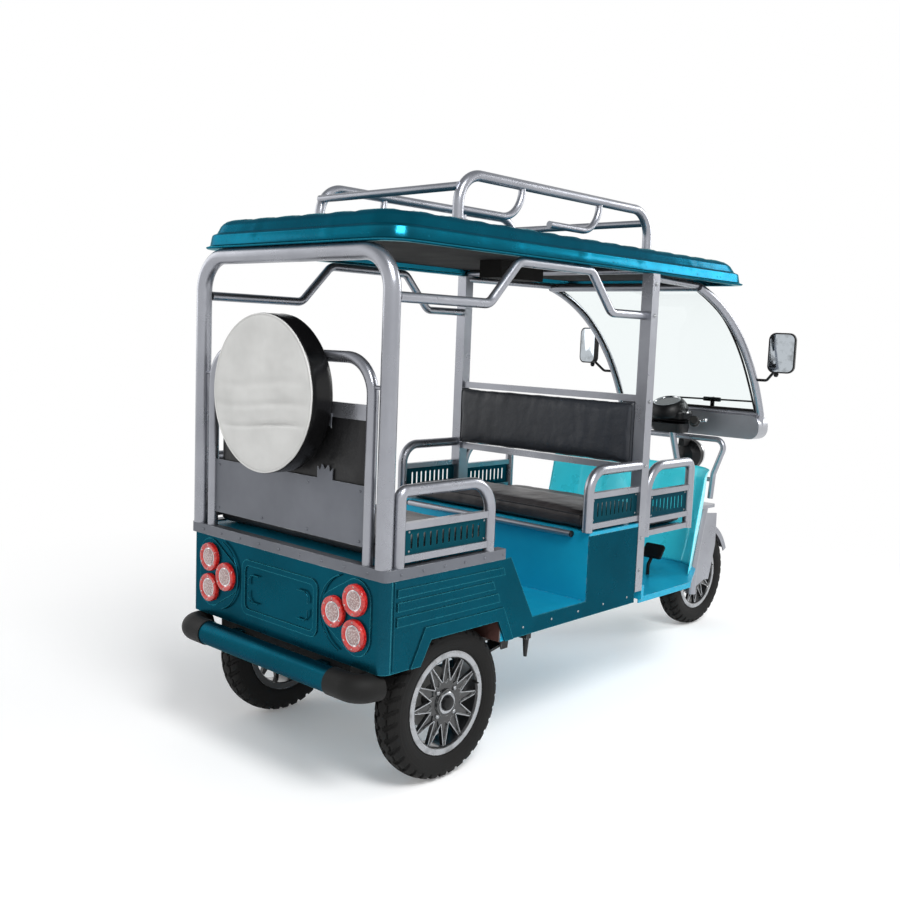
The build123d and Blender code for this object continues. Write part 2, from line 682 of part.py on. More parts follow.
with BuildPart() as bench_cushion:
    block((-cushion_half, cushion_half), (bench_face_y + 12, side_front_y - 2),
          (board_top + seat_gap, board_top + cushion_thick))
    fillet(bench_cushion.edges().filter_by(Axis.Z), 20)
bench_cushion.part.label = "bench_cushion"
export_step(bench_cushion.part, "parts/bench_cushion.step")

divider_half = post_x - post_size / 2 - seat_gap
bench_rail_half = half_width - 74
bench_rail_z = 684

# Bench rails: the two square rails that hold the divider pad, and the round rail before the bench
with BuildPart() as bench_rails:
    for low in (bench_back_low - divider_rail, bench_back_top):
        block((-divider_half, divider_half), (post_y - divider_rail / 2, post_y + divider_rail / 2),
              (low, low + divider_rail))
    rod((-bench_rail_half, bench_face_y - bench_rail_radius - seat_gap, bench_rail_z),
        (bench_rail_half, bench_face_y - bench_rail_radius - seat_gap, bench_rail_z),
        bench_rail_radius)
bench_rails.part.label = "bench_rails"
export_step(bench_rails.part, "parts/bench_rails.step")

with BuildPart() as divider_pad:
    block((-divider_half, divider_half), (pad_rear_y, pad_front_y),
          (bench_back_low + seat_gap, bench_back_top - seat_gap))
divider_pad.part.label = "divider_pad"
export_step(divider_pad.part, "parts/divider_pad.step")

with BuildPart() as driver_cushion:
    block((-cushion_half + 5, cushion_half - 5), (riser_y + 4, rear_axle_y + 1330),
          (driver_board_top + seat_gap, driver_board_top + 52))
    fillet(driver_cushion.edges().filter_by(Axis.Z), 20)
driver_cushion.part.label = "driver_cushion"
export_step(driver_cushion.part, "parts/driver_cushion.step")

# Side guards: three bent tube frames on each side with square rails, and their louvred plates
guard_rail = 20
rear_guard_back = hoop_y + hoop_radius + seat_gap + guard_radius
rear_guard_front = rear_axle_y + 126
bench_guard_back = bench_face_y + 2
driver_guard_back = post_y + post_size / 2 + seat_gap + guard_radius
driver_guard_front = rear_axle_y + 1322
driver_guard_low = driver_board_top - board_thick
rear_guard_top = rail_top + 215
bench_guard_top = board_top + 211
driver_guard_top = driver_guard_low + 260

# Guards: path of the tube, its bend radii, and the rails as (low edge, back, front)
guard_paths = [
    ([(rear_guard_back, rail_top), (rear_guard_back, rear_guard_top),
      (rear_guard_front, rear_guard_top), (rear_guard_front, rail_top)], (22, 90),
     [(rail_top + 13, rear_guard_back, rear_guard_front),
      (rail_top + 105, rear_guard_back, rear_guard_front)]),
    ([(bench_guard_back, board_top), (bench_guard_back, bench_guard_top),
      (side_front_y, bench_guard_top)], (75,),
     [(board_top + 9, bench_guard_back, side_front_y),
      (board_top + 115, bench_guard_back, side_front_y)]),
    ([(driver_guard_back, driver_guard_low), (driver_guard_back, driver_guard_top),
      (driver_guard_front, driver_guard_top), (driver_guard_front, driver_guard_low)], (100, 32),
     [(driver_guard_low + 2, driver_guard_back, driver_guard_front),
      (driver_guard_low + 48, driver_guard_back, driver_guard_front),
      (driver_guard_low + 150, driver_guard_back, driver_guard_front)]),
]
guard_plate_sheet = 3
slot_pitch = 26
slot_width = 9

with BuildPart() as side_guards:
    for side in (-1, 1):
        for path, bends, rails in guard_paths:
            tube([(side * guard_x, y, z) for y, z in path], bends, guard_radius)
            for low, back, front in rails:
                block((side * guard_x - guard_rail / 2, side * guard_x + guard_rail / 2),
                      (back, front), (low, low + guard_rail))
side_guards.part.label = "side_guards"
export_step(side_guards.part, "parts/side_guards.step")

with BuildPart() as guard_plates:
    for side in (-1, 1):
        for path, bends, rails in guard_paths:
            low = rails[-2][0] + guard_rail + seat_gap
            high = rails[-1][0] - seat_gap
            back = rails[-1][1] + guard_radius + seat_gap
            front = rails[-1][2] - (guard_radius + seat_gap if len(path) == 4 else 0)
            slots = int((front - back - slot_pitch) / slot_pitch)
            with BuildSketch(Plane.YZ.offset(side * guard_x - guard_plate_sheet / 2)) as grille:
                with Locations(((back + front) / 2, (low + high) / 2)):
                    Rectangle(front - back, high - low)
                    with GridLocations(slot_pitch, 0, slots, 1):
                        SlotOverall((high - low) * 0.6, slot_width, rotation=90, mode=Mode.SUBTRACT)
            extrude(grille.sketch, amount=guard_plate_sheet)
guard_plates.part.label = "guard_plates"
export_step(guard_plates.part, "parts/guard_plates.step")

# Spare wheel in its cover: a domed white face and straight black side, closed all round
spare_radius = 237
spare_z = 1160
spare_back_y = hoop_y - back_radius - seat_gap
spare_face_y = rear_axle_y - spare_reach

with BuildPart() as spare_cover:
    with BuildSketch(Plane.YZ) as cover_half:
        with BuildLine():
            face_line = Line((spare_face_y, spare_z), (spare_face_y + 2, spare_z + spare_radius - 22))
            ThreePointArc(face_line @ 1, (spare_face_y + 6, spare_z + spare_radius - 6),
                          (spare_face_y + 18, spare_z + spare_radius))
            Polyline((spare_face_y + 18, spare_z + spare_radius),
                     (spare_back_y - 8, spare_z + spare_radius),
                     (spare_back_y, spare_z + spare_radius - 8), (spare_back_y, spare_z),
                     (spare_face_y, spare_z))
        make_face()
    revolve(cover_half.sketch, axis=Axis((0, 0, spare_z), (0, 1, 0)))
spare_cover.part.label = "spare_cover"
export_step(spare_cover.part, "parts/spare_cover.step")

# Bumper: a painted tube on two stubs, with rubber end caps that bend forward
bumper_y = rear_axle_y - 361
bumper_z = 360
bumper_radius = 38
bumper_half = half_width - 164
cap_radius = 41

with BuildPart() as bumper:
    rod((-bumper_half, bumper_y, bumper_z), (bumper_half, bumper_y, bumper_z), bumper_radius)
    for x in (-210, 210):
        block((x - 20, x + 20), (bumper_y, rear_member_y - seat_gap), (bumper_z - 12, bumper_z + 24))
bumper.part.label = "bumper"
export_step(bumper.part, "parts/bumper.step")

with BuildPart() as bumper_caps:
    for side in (-1, 1):
        tube([(side * (bumper_half + seat_gap), bumper_y, bumper_z),
              (side * (bumper_half + 107), bumper_y, bumper_z),
              (side * (bumper_half + 116), bumper_y + 70, bumper_z)], 45, cap_radius)
bumper_caps.part.label = "bumper_caps"
export_step(bumper_caps.part, "parts/bumper_caps.step")

# Tail lamps: six round lamps with a raised bezel and a domed lens
with BuildPart() as tail_lamps:
    with BuildSketch(Plane.XZ.offset(-rear_face_y)) as lamp_rings:
        for x, z in lamp_places:
            for side in (-1, 1):
                with Locations((side * x, z)):
                    Circle(lamp_radius)
    extrude(lamp_rings.sketch, amount=14)
    fillet(tail_lamps.edges().group_by(Axis.Y)[0], 6)
tail_lamps.part.label = "tail_lamps"
export_step(tail_lamps.part, "parts/tail_lamps.step")

# Rear axle: tube, drive casing and motor block, brake plates, spring seats and stub shafts
axle_z = tyre_radius
axle_radius = 30
axle_half = half_track - 41
casing_x = -40
casing_radius = 98
motor_radius = 80
motor_back_y = rear_axle_y + 60
motor_front_y = rear_axle_y + 280
brake_radius = 95
brake_face = half_track - 35.4
stub_radius = 15
stub_end = half_track + 30
leaf_thick = 8
# Springs: drop below the main leaf, rear end and front end from the axle
leaves = [(0, -262, 380), (8, -190, 308), (16, -100, 218)]
leaf_points = [(eye_rear_y, eye_z), (rear_axle_y + 30, 292), (eye_front_y, eye_z)]
seat_top = 271.5

with BuildPart() as rear_axle:
    rod((-axle_half, rear_axle_y, axle_z), (axle_half, rear_axle_y, axle_z), axle_radius)
    with BuildSketch(Plane.XZ.offset(-rear_axle_y)) as casing_half:
        with BuildLine():
            Polyline((casing_x - 62, axle_z), (casing_x - 56, axle_z + 52), (casing_x - 34, axle_z + 82),
                     (casing_x - 14, axle_z + casing_radius), (casing_x + 14, axle_z + casing_radius),
                     (casing_x + 34, axle_z + 82), (casing_x + 56, axle_z + 52),
                     (casing_x + 62, axle_z), close=True)
        make_face()
    revolve(casing_half.sketch, axis=Axis((0, rear_axle_y, axle_z), (1, 0, 0)))
    rod((casing_x, rear_axle_y, axle_z), (casing_x, motor_back_y + 5, axle_z), 52)
    rod((casing_x, motor_back_y, axle_z), (casing_x, motor_front_y, axle_z), motor_radius)
    for side in (-1, 1):
        rod((side * axle_half, rear_axle_y, axle_z), (side * brake_face, rear_axle_y, axle_z),
            brake_radius)
        rod((side * axle_half, rear_axle_y, axle_z), (side * stub_end, rear_axle_y, axle_z),
            stub_radius)
        block((side * (member_x - spring_half), side * (member_x + spring_half)),
              (rear_axle_y - 26, rear_axle_y + 30), (axle_z, seat_top))
rear_axle.part.label = "rear_axle"
export_step(rear_axle.part, "parts/rear_axle.step")

# Leaf springs: three stacked leaves a side with rolled eyes, clamped to the axle by U-bolts
bolt_radius = 5.5
bolt_x = spring_half + bolt_radius + 0.5
bolt_y = axle_radius + bolt_radius + 1

with BuildPart() as leaf_springs:
    for side in (-1, 1):
        x_mid = side * member_x
        for drop, back, front in leaves:
            with BuildSketch(Plane.YZ.offset(x_mid - spring_half)) as leaf:
                with BuildLine():
                    ThreePointArc((rear_axle_y + back, arc_z(leaf_points, rear_axle_y + back) - drop),
                                  (rear_axle_y + 59, arc_z(leaf_points, rear_axle_y + 59) - drop),
                                  (rear_axle_y + front, arc_z(leaf_points, rear_axle_y + front) - drop))
                trace(line_width=leaf_thick)
            extrude(leaf.sketch, amount=2 * spring_half)
        for y in (eye_rear_y, eye_front_y):
            rod((x_mid - spring_half, y, eye_z), (x_mid + spring_half, y, eye_z), eye_radius)
        for low, high in ((axle_z - axle_radius - seat_gap - 7, axle_z - axle_radius - seat_gap),
                          (294, 303)):
            block((x_mid - bolt_x - 7, x_mid + bolt_x + 7),
                  (rear_axle_y - bolt_y - 8, rear_axle_y + bolt_y + 8), (low, high))
        for x in (-bolt_x, bolt_x):
            for y in (-bolt_y, bolt_y):
                rod((x_mid + x, rear_axle_y + y, axle_z - axle_radius - seat_gap - 16),
                    (x_mid + x, rear_axle_y + y, 310), bolt_radius)
leaf_springs.part.label = "leaf_springs"
export_step(leaf_springs.part, "parts/leaf_springs.step")

# Wheels: name, x of the middle, y of the axle, side the disc faces, hub reach in and out, bore
wheel_places = [("rear_{}_left", -half_track, rear_axle_y, -1, -30, 38, stub_radius),
                ("rear_{}_right", half_track, rear_axle_y, 1, -30, 38, stub_radius),
                ("front_{}", 0, front_axle_y, 1, -30, 34, 8)]
petals = 12
petal_tip = 141
petal_valley = 68
petal_tip_half = 5
disc_low = 20
disc_high = 32
# Rim: half section of the barrel as place from the middle, radius
rim_section = [(-39, 140), (-39, 160), (-36, 160), (-36, 146), (-20, 146), (-14, 142), (14, 142),
               (20, 146), (36, 146), (36, 160), (39, 160), (39, 140), (33, 137), (-33, 137)]
# Tyre: half section from bead to crown
tyre_half = [(35.7, 147), (35.7, 162), (44, 176), (48, 198), (46, 216), (38, 232), (20, 238.6)]

for name, x_mid, y_mid, facing, hub_in, hub_out, shaft in wheel_places:
    spin_axis = Axis((0, y_mid, axle_z), (1, 0, 0))
    with BuildPart() as rim:
        with BuildSketch(Plane.XZ.offset(-y_mid)) as barrel:
            with BuildLine():
                Polyline(*[(x_mid + x, axle_z + r) for x, r in rim_section], close=True)
            make_face()
        revolve(barrel.sketch, axis=spin_axis)
        with BuildSketch(Plane.YZ.offset(x_mid + min(facing * disc_low, facing * disc_high))) as star:
            with Locations((y_mid, axle_z)):
                Circle(petal_valley - 4)
                with PolarLocations(0, petals):
                    Polygon((petal_valley - 30, 0), (petal_valley, -petal_valley * 0.262),
                            (petal_tip, -petal_tip_half), (petal_tip, petal_tip_half),
                            (petal_valley, petal_valley * 0.262), align=None)
        extrude(star.sketch, amount=disc_high - disc_low)
        with BuildSketch(Plane.YZ.offset(x_mid + facing * disc_high)) as pockets:
            with Locations((y_mid, axle_z)):
                with PolarLocations(0, petals):
                    Polygon((petal_valley - 8, 0), (petal_valley + 4, -13), (petal_tip - 18, -2.4),
                            (petal_tip - 18, 2.4), (petal_valley + 4, 13), align=None)
        extrude(pockets.sketch, amount=-facing * 4, mode=Mode.SUBTRACT)
        rod((x_mid + facing * hub_in, y_mid, axle_z), (x_mid + facing * hub_out, y_mid, axle_z), 42)
        rod((x_mid - 60, y_mid, axle_z), (x_mid + 60, y_mid, axle_z), shaft + shaft_gap,
            mode=Mode.SUBTRACT)
    rim.part.label = name.format("rim")
    export_step(rim.part, f"parts/{rim.part.label}.step")
    with BuildPart() as tyre:
        with BuildSketch(Plane.XZ.offset(-y_mid)) as carcass:
            with BuildLine():
                Polyline(*[(x_mid - x, axle_z + r) for x, r in tyre_half], (x_mid, axle_z + tyre_radius),
                         *[(x_mid + x, axle_z + r) for x, r in reversed(tyre_half)], close=True)
            make_face()
        revolve(carcass.sketch, axis=spin_axis)
    tyre.part.label = name.format("tyre")
    export_step(tyre.part, f"parts/{tyre.part.label}.step")

# Fork: yoke plate and raked stem, two bent legs with side covers, trailing links and the axle pin
leg_x = 85
leg_radius = 21
# Leg path and cover outline as (from the front axle, height)
leg_path = [(-68, yoke_z), (-105, 440), (-138, 300), (-135, 180)]
cover_outline = [(-71, 560), (75, 545), (79, 391), (32, 224), (-100, 236)]
cover_in = 76
cover_out = 80
link_in = 55
link_out = 67
link_radius = 22
pin_radius = 8
pin_half = 70
guard_outer = 262
guard_inner = 258
guard_bracket_half = 15

with BuildPart() as fork:
    block((-106, 106), (front_axle_y - 130, front_axle_y + 12), (yoke_z, yoke_z + yoke_thick))
    fillet(fork.edges().filter_by(Axis.Z), 16)
    rod((0, stem_y(yoke_z), yoke_z), (0, stem_y(stem_top), stem_top), stem_radius)
    for side in (-1, 1):
        tube([(side * leg_x, front_axle_y + y, z) for y, z in leg_path], 90, leg_radius)
        plate([(front_axle_y + y, z) for y, z in cover_outline], (side * cover_in, side * cover_out))
        plate([(front_axle_y - 138, 176), (front_axle_y - 132, 206),
               (front_axle_y - 4, axle_z + link_radius), (front_axle_y + 4, axle_z - link_radius)],
              (side * link_in, side * link_out))
        rod((side * link_in, front_axle_y, axle_z), (side * link_out, front_axle_y, axle_z), link_radius)
    rod((-pin_half, front_axle_y, axle_z), (pin_half, front_axle_y, axle_z), pin_radius)
    block((-guard_bracket_half, guard_bracket_half), (front_axle_y - 10, front_axle_y + 10),
          (axle_z + guard_outer + seat_gap, yoke_z))
fork.part.label = "fork"
export_step(fork.part, "parts/fork.step")

# Front mudguard: a curved band with side lips, from ahead of the wheel to behind it
guard_half = 58
guard_lip = 4
guard_lip_inner = 230
guard_start = 25
guard_sweep = 140

with BuildPart() as mudguard:
    with BuildSketch(Plane.XZ.offset(-front_axle_y)) as guard_section:
        with BuildLine():
            Polyline((-guard_half, axle_z + guard_lip_inner), (-guard_half, axle_z + guard_inner),
                     (-guard_half + 10, axle_z + guard_outer), (guard_half - 10, axle_z + guard_outer),
                     (guard_half, axle_z + guard_inner), (guard_half, axle_z + guard_lip_inner),
                     (guard_half - guard_lip, axle_z + guard_lip_inner),
                     (guard_half - guard_lip, axle_z + guard_inner - 3),
                     (guard_half - 13, axle_z + guard_inner), (-guard_half + 13, axle_z + guard_inner),
                     (-guard_half + guard_lip, axle_z + guard_inner - 3),
                     (-guard_half + guard_lip, axle_z + guard_lip_inner), close=True)
        make_face()
    revolve(guard_section.sketch.rotate(Axis((0, front_axle_y, axle_z), (-1, 0, 0)), 90 - guard_start),
            axis=Axis((0, front_axle_y, axle_z), (1, 0, 0)), revolution_arc=guard_sweep)
mudguard.part.label = "mudguard"
export_step(mudguard.part, "parts/mudguard.step")

# Handlebar: a swept-back bar on a clamp at the stem's top, with moulded grips
bar_radius = 11
bar_z = 1005
bar_y = rear_axle_y + 1905
grip_radius = 17
grip_length = 118
bar_end = Vector(300, rear_axle_y + 1600, 1040)
bar_bend = Vector(200, rear_axle_y + 1790, 1015)
grip_turn = (bar_bend - bar_end).normalized()

with BuildPart() as handlebar:
    tube([(-300, bar_end.Y, bar_end.Z), (-200, bar_bend.Y, bar_bend.Z), (-120, bar_y, bar_z),
          (120, bar_y, bar_z), (200, bar_bend.Y, bar_bend.Z), (300, bar_end.Y, bar_end.Z)],
         40, bar_radius)
    rod((0, stem_y(stem_top + seat_gap), stem_top + seat_gap), (0, stem_y(bar_z - 2), bar_z - 2), 22)
    for side in (-1, 1):
        inner_end = bar_end + grip_turn * grip_length
        rod((side * bar_end.X, bar_end.Y, bar_end.Z), (side * inner_end.X, inner_end.Y, inner_end.Z),
            grip_radius)
handlebar.part.label = "handlebar"
export_step(handlebar.part, "parts/handlebar.step")

# Console: the shroud over and under the handlebar's middle, with the instrument hood on top
console_half = 97
console_back_y = rear_axle_y + 1848
console_front_y = rear_axle_y + 1965
shroud_foot = stay_z + stay_radius + 12

with BuildPart() as console:
    block((-console_half, console_half), (console_back_y, console_front_y),
          (bar_z + bar_radius + seat_gap, bar_z + 52))
    fillet(console.edges().filter_by(Axis.Z), 26)
    fillet(console.edges().group_by(Axis.Z)[-1], 18)
    with BuildSketch(Plane.XY.offset(shroud_foot)) as shroud_low:
        with Locations((0, stem_y(shroud_foot) - 12)):
            RectangleRounded(146, 90, 24)
    with BuildSketch(Plane.XY.offset(bar_z - bar_radius - seat_gap)) as shroud_high:
        with Locations((0, (console_back_y + console_front_y) / 2)):
            RectangleRounded(2 * console_half - 12, console_front_y - console_back_y - 12, 26)
    loft([shroud_low.sketch.face(), shroud_high.sketch.face()])
    rod((0, stem_y(900), 900), (0, stem_y(bar_z + 6), bar_z + 6), 24, mode=Mode.SUBTRACT)
console.part.label = "console"
export_step(console.part, "parts/console.step")

# Brake pedal on its lever, standing on the driver's floor
pedal_x = 270
pedal_y = rear_axle_y + 1400
pedal_z = 500

with BuildPart() as pedal:
    tube([(pedal_x, pedal_y - 40, driver_floor_top + seat_gap), (pedal_x, pedal_y - 40, 450),
          (pedal_x, pedal_y, pedal_z)], 20, 7)
    pad_plane = Plane(origin=(pedal_x, pedal_y, pedal_z), x_dir=(1, 0, 0), z_dir=(0, -0.8, 0.6))
    with BuildSketch(pad_plane) as pad:
        RectangleRounded(88, 62, 10)
    extrude(pad.sketch, amount=12)
pedal.part.label = "pedal"
export_step(pedal.part, "parts/pedal.step")
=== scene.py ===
import math

import bmesh
import bpy
from mathutils import Matrix, Vector, noise
from mathutils.bvhtree import BVHTree


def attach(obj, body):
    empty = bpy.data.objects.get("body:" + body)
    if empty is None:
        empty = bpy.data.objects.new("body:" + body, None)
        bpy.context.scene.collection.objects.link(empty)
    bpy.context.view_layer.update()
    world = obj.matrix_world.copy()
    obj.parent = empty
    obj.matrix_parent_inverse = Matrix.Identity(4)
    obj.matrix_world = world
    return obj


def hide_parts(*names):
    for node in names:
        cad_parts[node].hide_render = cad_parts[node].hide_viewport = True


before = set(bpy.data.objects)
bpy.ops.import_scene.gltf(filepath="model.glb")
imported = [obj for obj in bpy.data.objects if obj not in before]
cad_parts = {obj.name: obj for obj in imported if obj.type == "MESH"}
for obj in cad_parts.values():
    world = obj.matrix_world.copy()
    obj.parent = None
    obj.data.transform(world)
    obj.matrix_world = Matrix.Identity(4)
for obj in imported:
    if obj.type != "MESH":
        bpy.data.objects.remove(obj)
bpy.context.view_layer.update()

# Camera: the photograph's viewing angle, from behind the vehicle's right rear corner at chest height,
# found from the body's square edges, the posts and the wheels. Places in this file are millimetres
# ahead of the rear axle, and at() turns them into the frame's metres.
REAR_AXLE = -1018.5


def at(x, y, z):
    """A place in the frame, in metres, from millimetres ahead of the rear axle."""
    return Vector((x / 1000, (y + REAR_AXLE) / 1000, z / 1000))


camera_data = bpy.data.cameras.new("camera")
camera_data.lens = 40.86
camera_data.sensor_width = 36
camera = bpy.data.objects.new("camera", camera_data)
bpy.context.scene.collection.objects.link(camera)
azimuth, pitch, roll = math.radians(42.66), math.radians(6.33), math.radians(2.22)
ahead = Vector((-math.sin(azimuth) * math.cos(pitch), math.cos(azimuth) * math.cos(pitch),
                -math.sin(pitch)))
level_right = ahead.cross(Vector((0, 0, 1))).normalized()
level_up = level_right.cross(ahead)
right = level_right * math.cos(roll) + level_up * math.sin(roll)
up = level_up * math.cos(roll) - level_right * math.sin(roll)
camera.matrix_world = Matrix.Translation(at(2445.45, -2223.57, 1346.94)) @ Matrix(
    (right, up, -ahead)).transposed().to_4x4()
bpy.context.scene.camera = camera
bpy.context.scene.view_settings.view_transform = "Standard"

# Studio: a matt white floor that glows evenly out of the lamps' reach, so that only the part's own
# shadow shows on it, a surround that is white at the horizon and grey overhead, and three soft
# lamps. The floor is stage, not a piece of the part.


def rgb(code):
    """An sRGB hex code as linear red, green, blue and alpha."""
    parts = [int(code[i:i + 2], 16) / 255 for i in (1, 3, 5)]
    return [p / 12.92 if p <= 0.04045 else ((p + 0.055) / 1.055) ** 2.4 for p in parts] + [1.0]


def add(tree, kind, values=None, links=None, **settings):
    """Add a shader node with its settings, socket values and links, and return it."""
    made = tree.nodes.new(kind)
    for key, value in settings.items():
        setattr(made, key, value)
    for key, value in (values or {}).items():
        made.inputs[key].default_value = value
    for key, source in (links or {}).items():
        tree.links.new(source, made.inputs[key])
    return made


def new_material(name):
    """An empty node material with its Principled shader and object coordinates."""
    made = bpy.data.materials.new(name)
    made.use_nodes = True
    tree = made.node_tree
    shader = tree.nodes["Principled BSDF"]
    place = add(tree, "ShaderNodeTexCoord").outputs["Object"]
    return made, tree, shader, place


def two_tone(tree, socket, pattern, low, high, colour, shade, most=1.0):
    """Colours a socket from one tone to the other as a pattern rises from low to high."""
    share = add(tree, "ShaderNodeMapRange", {"From Min": low, "From Max": high, "To Max": most},
                {"Value": pattern})
    tone = add(tree, "ShaderNodeMix", {6: rgb(colour), 7: rgb(shade)}, {0: share.outputs["Result"]},
               data_type="RGBA")
    tree.links.new(tone.outputs[2], socket)
    return tone


floor_paint, tree, shader, place = new_material("studio_floor")
shader.inputs["Base Color"].default_value = rgb("#f6f6f6")
shader.inputs["Roughness"].default_value = 0.9
shader.inputs["Specular IOR Level"].default_value = 0.1
shader.inputs["Emission Color"].default_value = rgb("#ffffff")
shader.inputs["Emission Strength"].default_value = 0.14
spread = add(tree, "ShaderNodeVectorMath", links={0: place}, operation="LENGTH")
glow = add(tree, "ShaderNodeEmission", {"Color": rgb("#ffffff"), "Strength": 1.0})
# The glow takes over from 1.3 m to 3.6 m out.
far = add(tree, "ShaderNodeMapRange", {"From Min": 1.3, "From Max": 3.6},
          {"Value": spread.outputs["Value"]})
blend = add(tree, "ShaderNodeMixShader", links={
    0: far.outputs["Result"], 1: shader.outputs["BSDF"], 2: glow.outputs["Emission"]})
tree.links.new(blend.outputs["Shader"], tree.nodes["Material Output"].inputs["Surface"])
floor_mesh = bpy.data.meshes.new("studio_floor")
floor_mesh.from_pydata([(-40, -40, 0), (40, -40, 0), (40, 40, 0), (-40, 40, 0)], [], [(0, 1, 2, 3)])
floor_mesh.materials.append(floor_paint)
floor = bpy.data.objects.new("studio_floor", floor_mesh)
bpy.context.scene.collection.objects.link(floor)

world = bpy.data.worlds.new("studio")
world.use_nodes = True
tree = world.node_tree
sky = add(tree, "ShaderNodeSeparateXYZ",
          links={"Vector": add(tree, "ShaderNodeTexCoord").outputs["Generated"]})
two_tone(tree, tree.nodes["Background"].inputs["Color"], sky.outputs["Z"], 0.3, 0.75, "#ffffff",
         "#9a9da0")
tree.nodes["Background"].inputs["Strength"].default_value = 1.0
bpy.context.scene.world = world

# Lamps: name, place, aimed at, size in metres, power
for name, place_at, aim, size, power in (
        ("key", (3.6, -2.2, 4.6), (0, -0.2, 0.8), 2.0, 230),
        ("fill", (-4.6, -2.4, 2.6), (0, 0, 0.9), 3.0, 40),
        ("front", (2.2, 5.2, 3.2), (0, 0.4, 0.9), 2.2, 110)):
    lamp = bpy.data.lights.new(name, "AREA")
    lamp.size = size
    lamp.energy = power
    holder = bpy.data.objects.new(name, lamp)
    holder.location = place_at
    holder.rotation_euler = (Vector(aim) - Vector(place_at)).to_track_quat("-Z", "Y").to_euler()
    bpy.context.scene.collection.objects.link(holder)

# Chassis and springs: welded square tube and three-leaf springs, sprayed satin black after welding,
# with road dust low down. Black paint, half dull, gives the eye soft edges and no mirror.


def dress(material, *nodes):
    """Give CAD nodes a better material in all their slots."""
    for name in nodes:
        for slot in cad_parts[name].material_slots:
            slot.material = material


def painted(name, colour, shade, metal, rough, coat, flake=0.0, peel=0.05, gloss=0.3, edge="#b9bcbd",
            steady_edge=0.0, veil=None):
    """Sprayed paint or gelcoat: flake and peel say how much of each shows, edge the colour laid on the
    edges and the argument after it its least share between patches, and veil the tint of the
    reflection near the grazing angle. The edge colour is rubbed wear on most paints and a painted
    highlight on the teals, whose share stays high. A scale is 1000 over the size of a pattern's cell
    in millimetres."""
    made, tree, shader, place = new_material(name)
    # The sprayed coat's thickness, and with it the tone, drifts over about 310 mm.
    cloud = add(tree, "ShaderNodeTexNoise", {"Scale": 1000 / 312.5, "Detail": 4, "Roughness": 0.6},
                {"Vector": place})
    tone = two_tone(tree, shader.inputs["Base Color"], cloud.outputs["Fac"], 0.35, 0.68, colour, shade)
    if flake:
        # Aluminium flake is about 0.05 mm; it is drawn at 1.1 mm, the finest that shows.
        grains = add(tree, "ShaderNodeTexVoronoi", {"Scale": 1000 / 1.11}, {"Vector": place})
        spark = add(tree, "ShaderNodeMapRange", {"From Min": 0.2, "From Max": 1.0, "To Max": flake},
                    {"Value": grains.outputs["Color"]})
        tone = add(tree, "ShaderNodeMix", {7: rgb("#5fb4c4")},
                   {0: spark.outputs["Result"], 6: tone.outputs[2]}, data_type="RGBA")
    # Edges within 4 mm take the edge colour in patches about 22 mm long: rubbed wear on most paints,
    # and on the teals, where the share between patches stays high, a painted highlight.
    rounded = add(tree, "ShaderNodeBevel", {"Radius": 0.004}, samples=4)
    flat = add(tree, "ShaderNodeNewGeometry")
    turn = add(tree, "ShaderNodeVectorMath",
               links={0: rounded.outputs["Normal"], 1: flat.outputs["Normal"]},
               operation="DOT_PRODUCT")
    sharp = add(tree, "ShaderNodeMapRange", {"From Min": 0.96, "From Max": 0.8, "To Max": 0.6},
                {"Value": turn.outputs["Value"]})
    patch = add(tree, "ShaderNodeTexNoise", {"Scale": 1000 / 22.2, "Detail": 3}, {"Vector": place})
    patchiness = add(tree, "ShaderNodeMapRange", {"From Min": 0.46, "From Max": 0.62, "To Min": steady_edge},
               {"Value": patch.outputs["Fac"]})
    edge_wear_and_highlight = add(tree, "ShaderNodeMath", links={0: sharp.outputs["Result"], 1: patchiness.outputs["Result"]},
              operation="MULTIPLY")
    edged = add(tree, "ShaderNodeMix", {7: rgb(edge)},
                {0: edge_wear_and_highlight.outputs["Value"], 6: tone.outputs[2]}, data_type="RGBA")
    tree.links.new(edged.outputs[2], shader.inputs["Base Color"])
    shader.inputs["Specular IOR Level"].default_value = gloss
    shader.inputs["Metallic"].default_value = metal
    if veil:
        # Without it a dark metallic paint turns pale where it is seen along its surface.
        shader.inputs["Specular Tint"].default_value = rgb(veil)
    # Dust and wiping marks, about 70 mm across, take the shine down a little.
    dust = add(tree, "ShaderNodeTexNoise", {"Scale": 1000 / 71.4, "Detail": 5}, {"Vector": place})
    dull = add(tree, "ShaderNodeMapRange", {"From Min": 0.35, "From Max": 0.75, "To Min": rough,
                                            "To Max": rough + 0.12}, {"Value": dust.outputs["Fac"]})
    tree.links.new(dull.outputs["Result"], shader.inputs["Roughness"])
    shader.inputs["Coat Weight"].default_value = coat
    shader.inputs["Coat Roughness"].default_value = 0.06
    # Orange peel of a sprayed coat, about 6 mm from crest to crest.
    wave = add(tree, "ShaderNodeTexNoise", {"Scale": 1000 / 6.25, "Detail": 2}, {"Vector": place})
    bump = add(tree, "ShaderNodeBump", {"Strength": peel, "Distance": 0.002},
               {"Height": wave.outputs["Fac"]})
    tree.links.new(bump.outputs["Normal"], shader.inputs["Normal"])
    return made


chassis_paint = painted("chassis_black_paint", "#1b1c1e", "#26241f", 0.0, 0.5, 0.1, peel=0.15)
dress(chassis_paint, "chassis_frame", "leaf_springs")

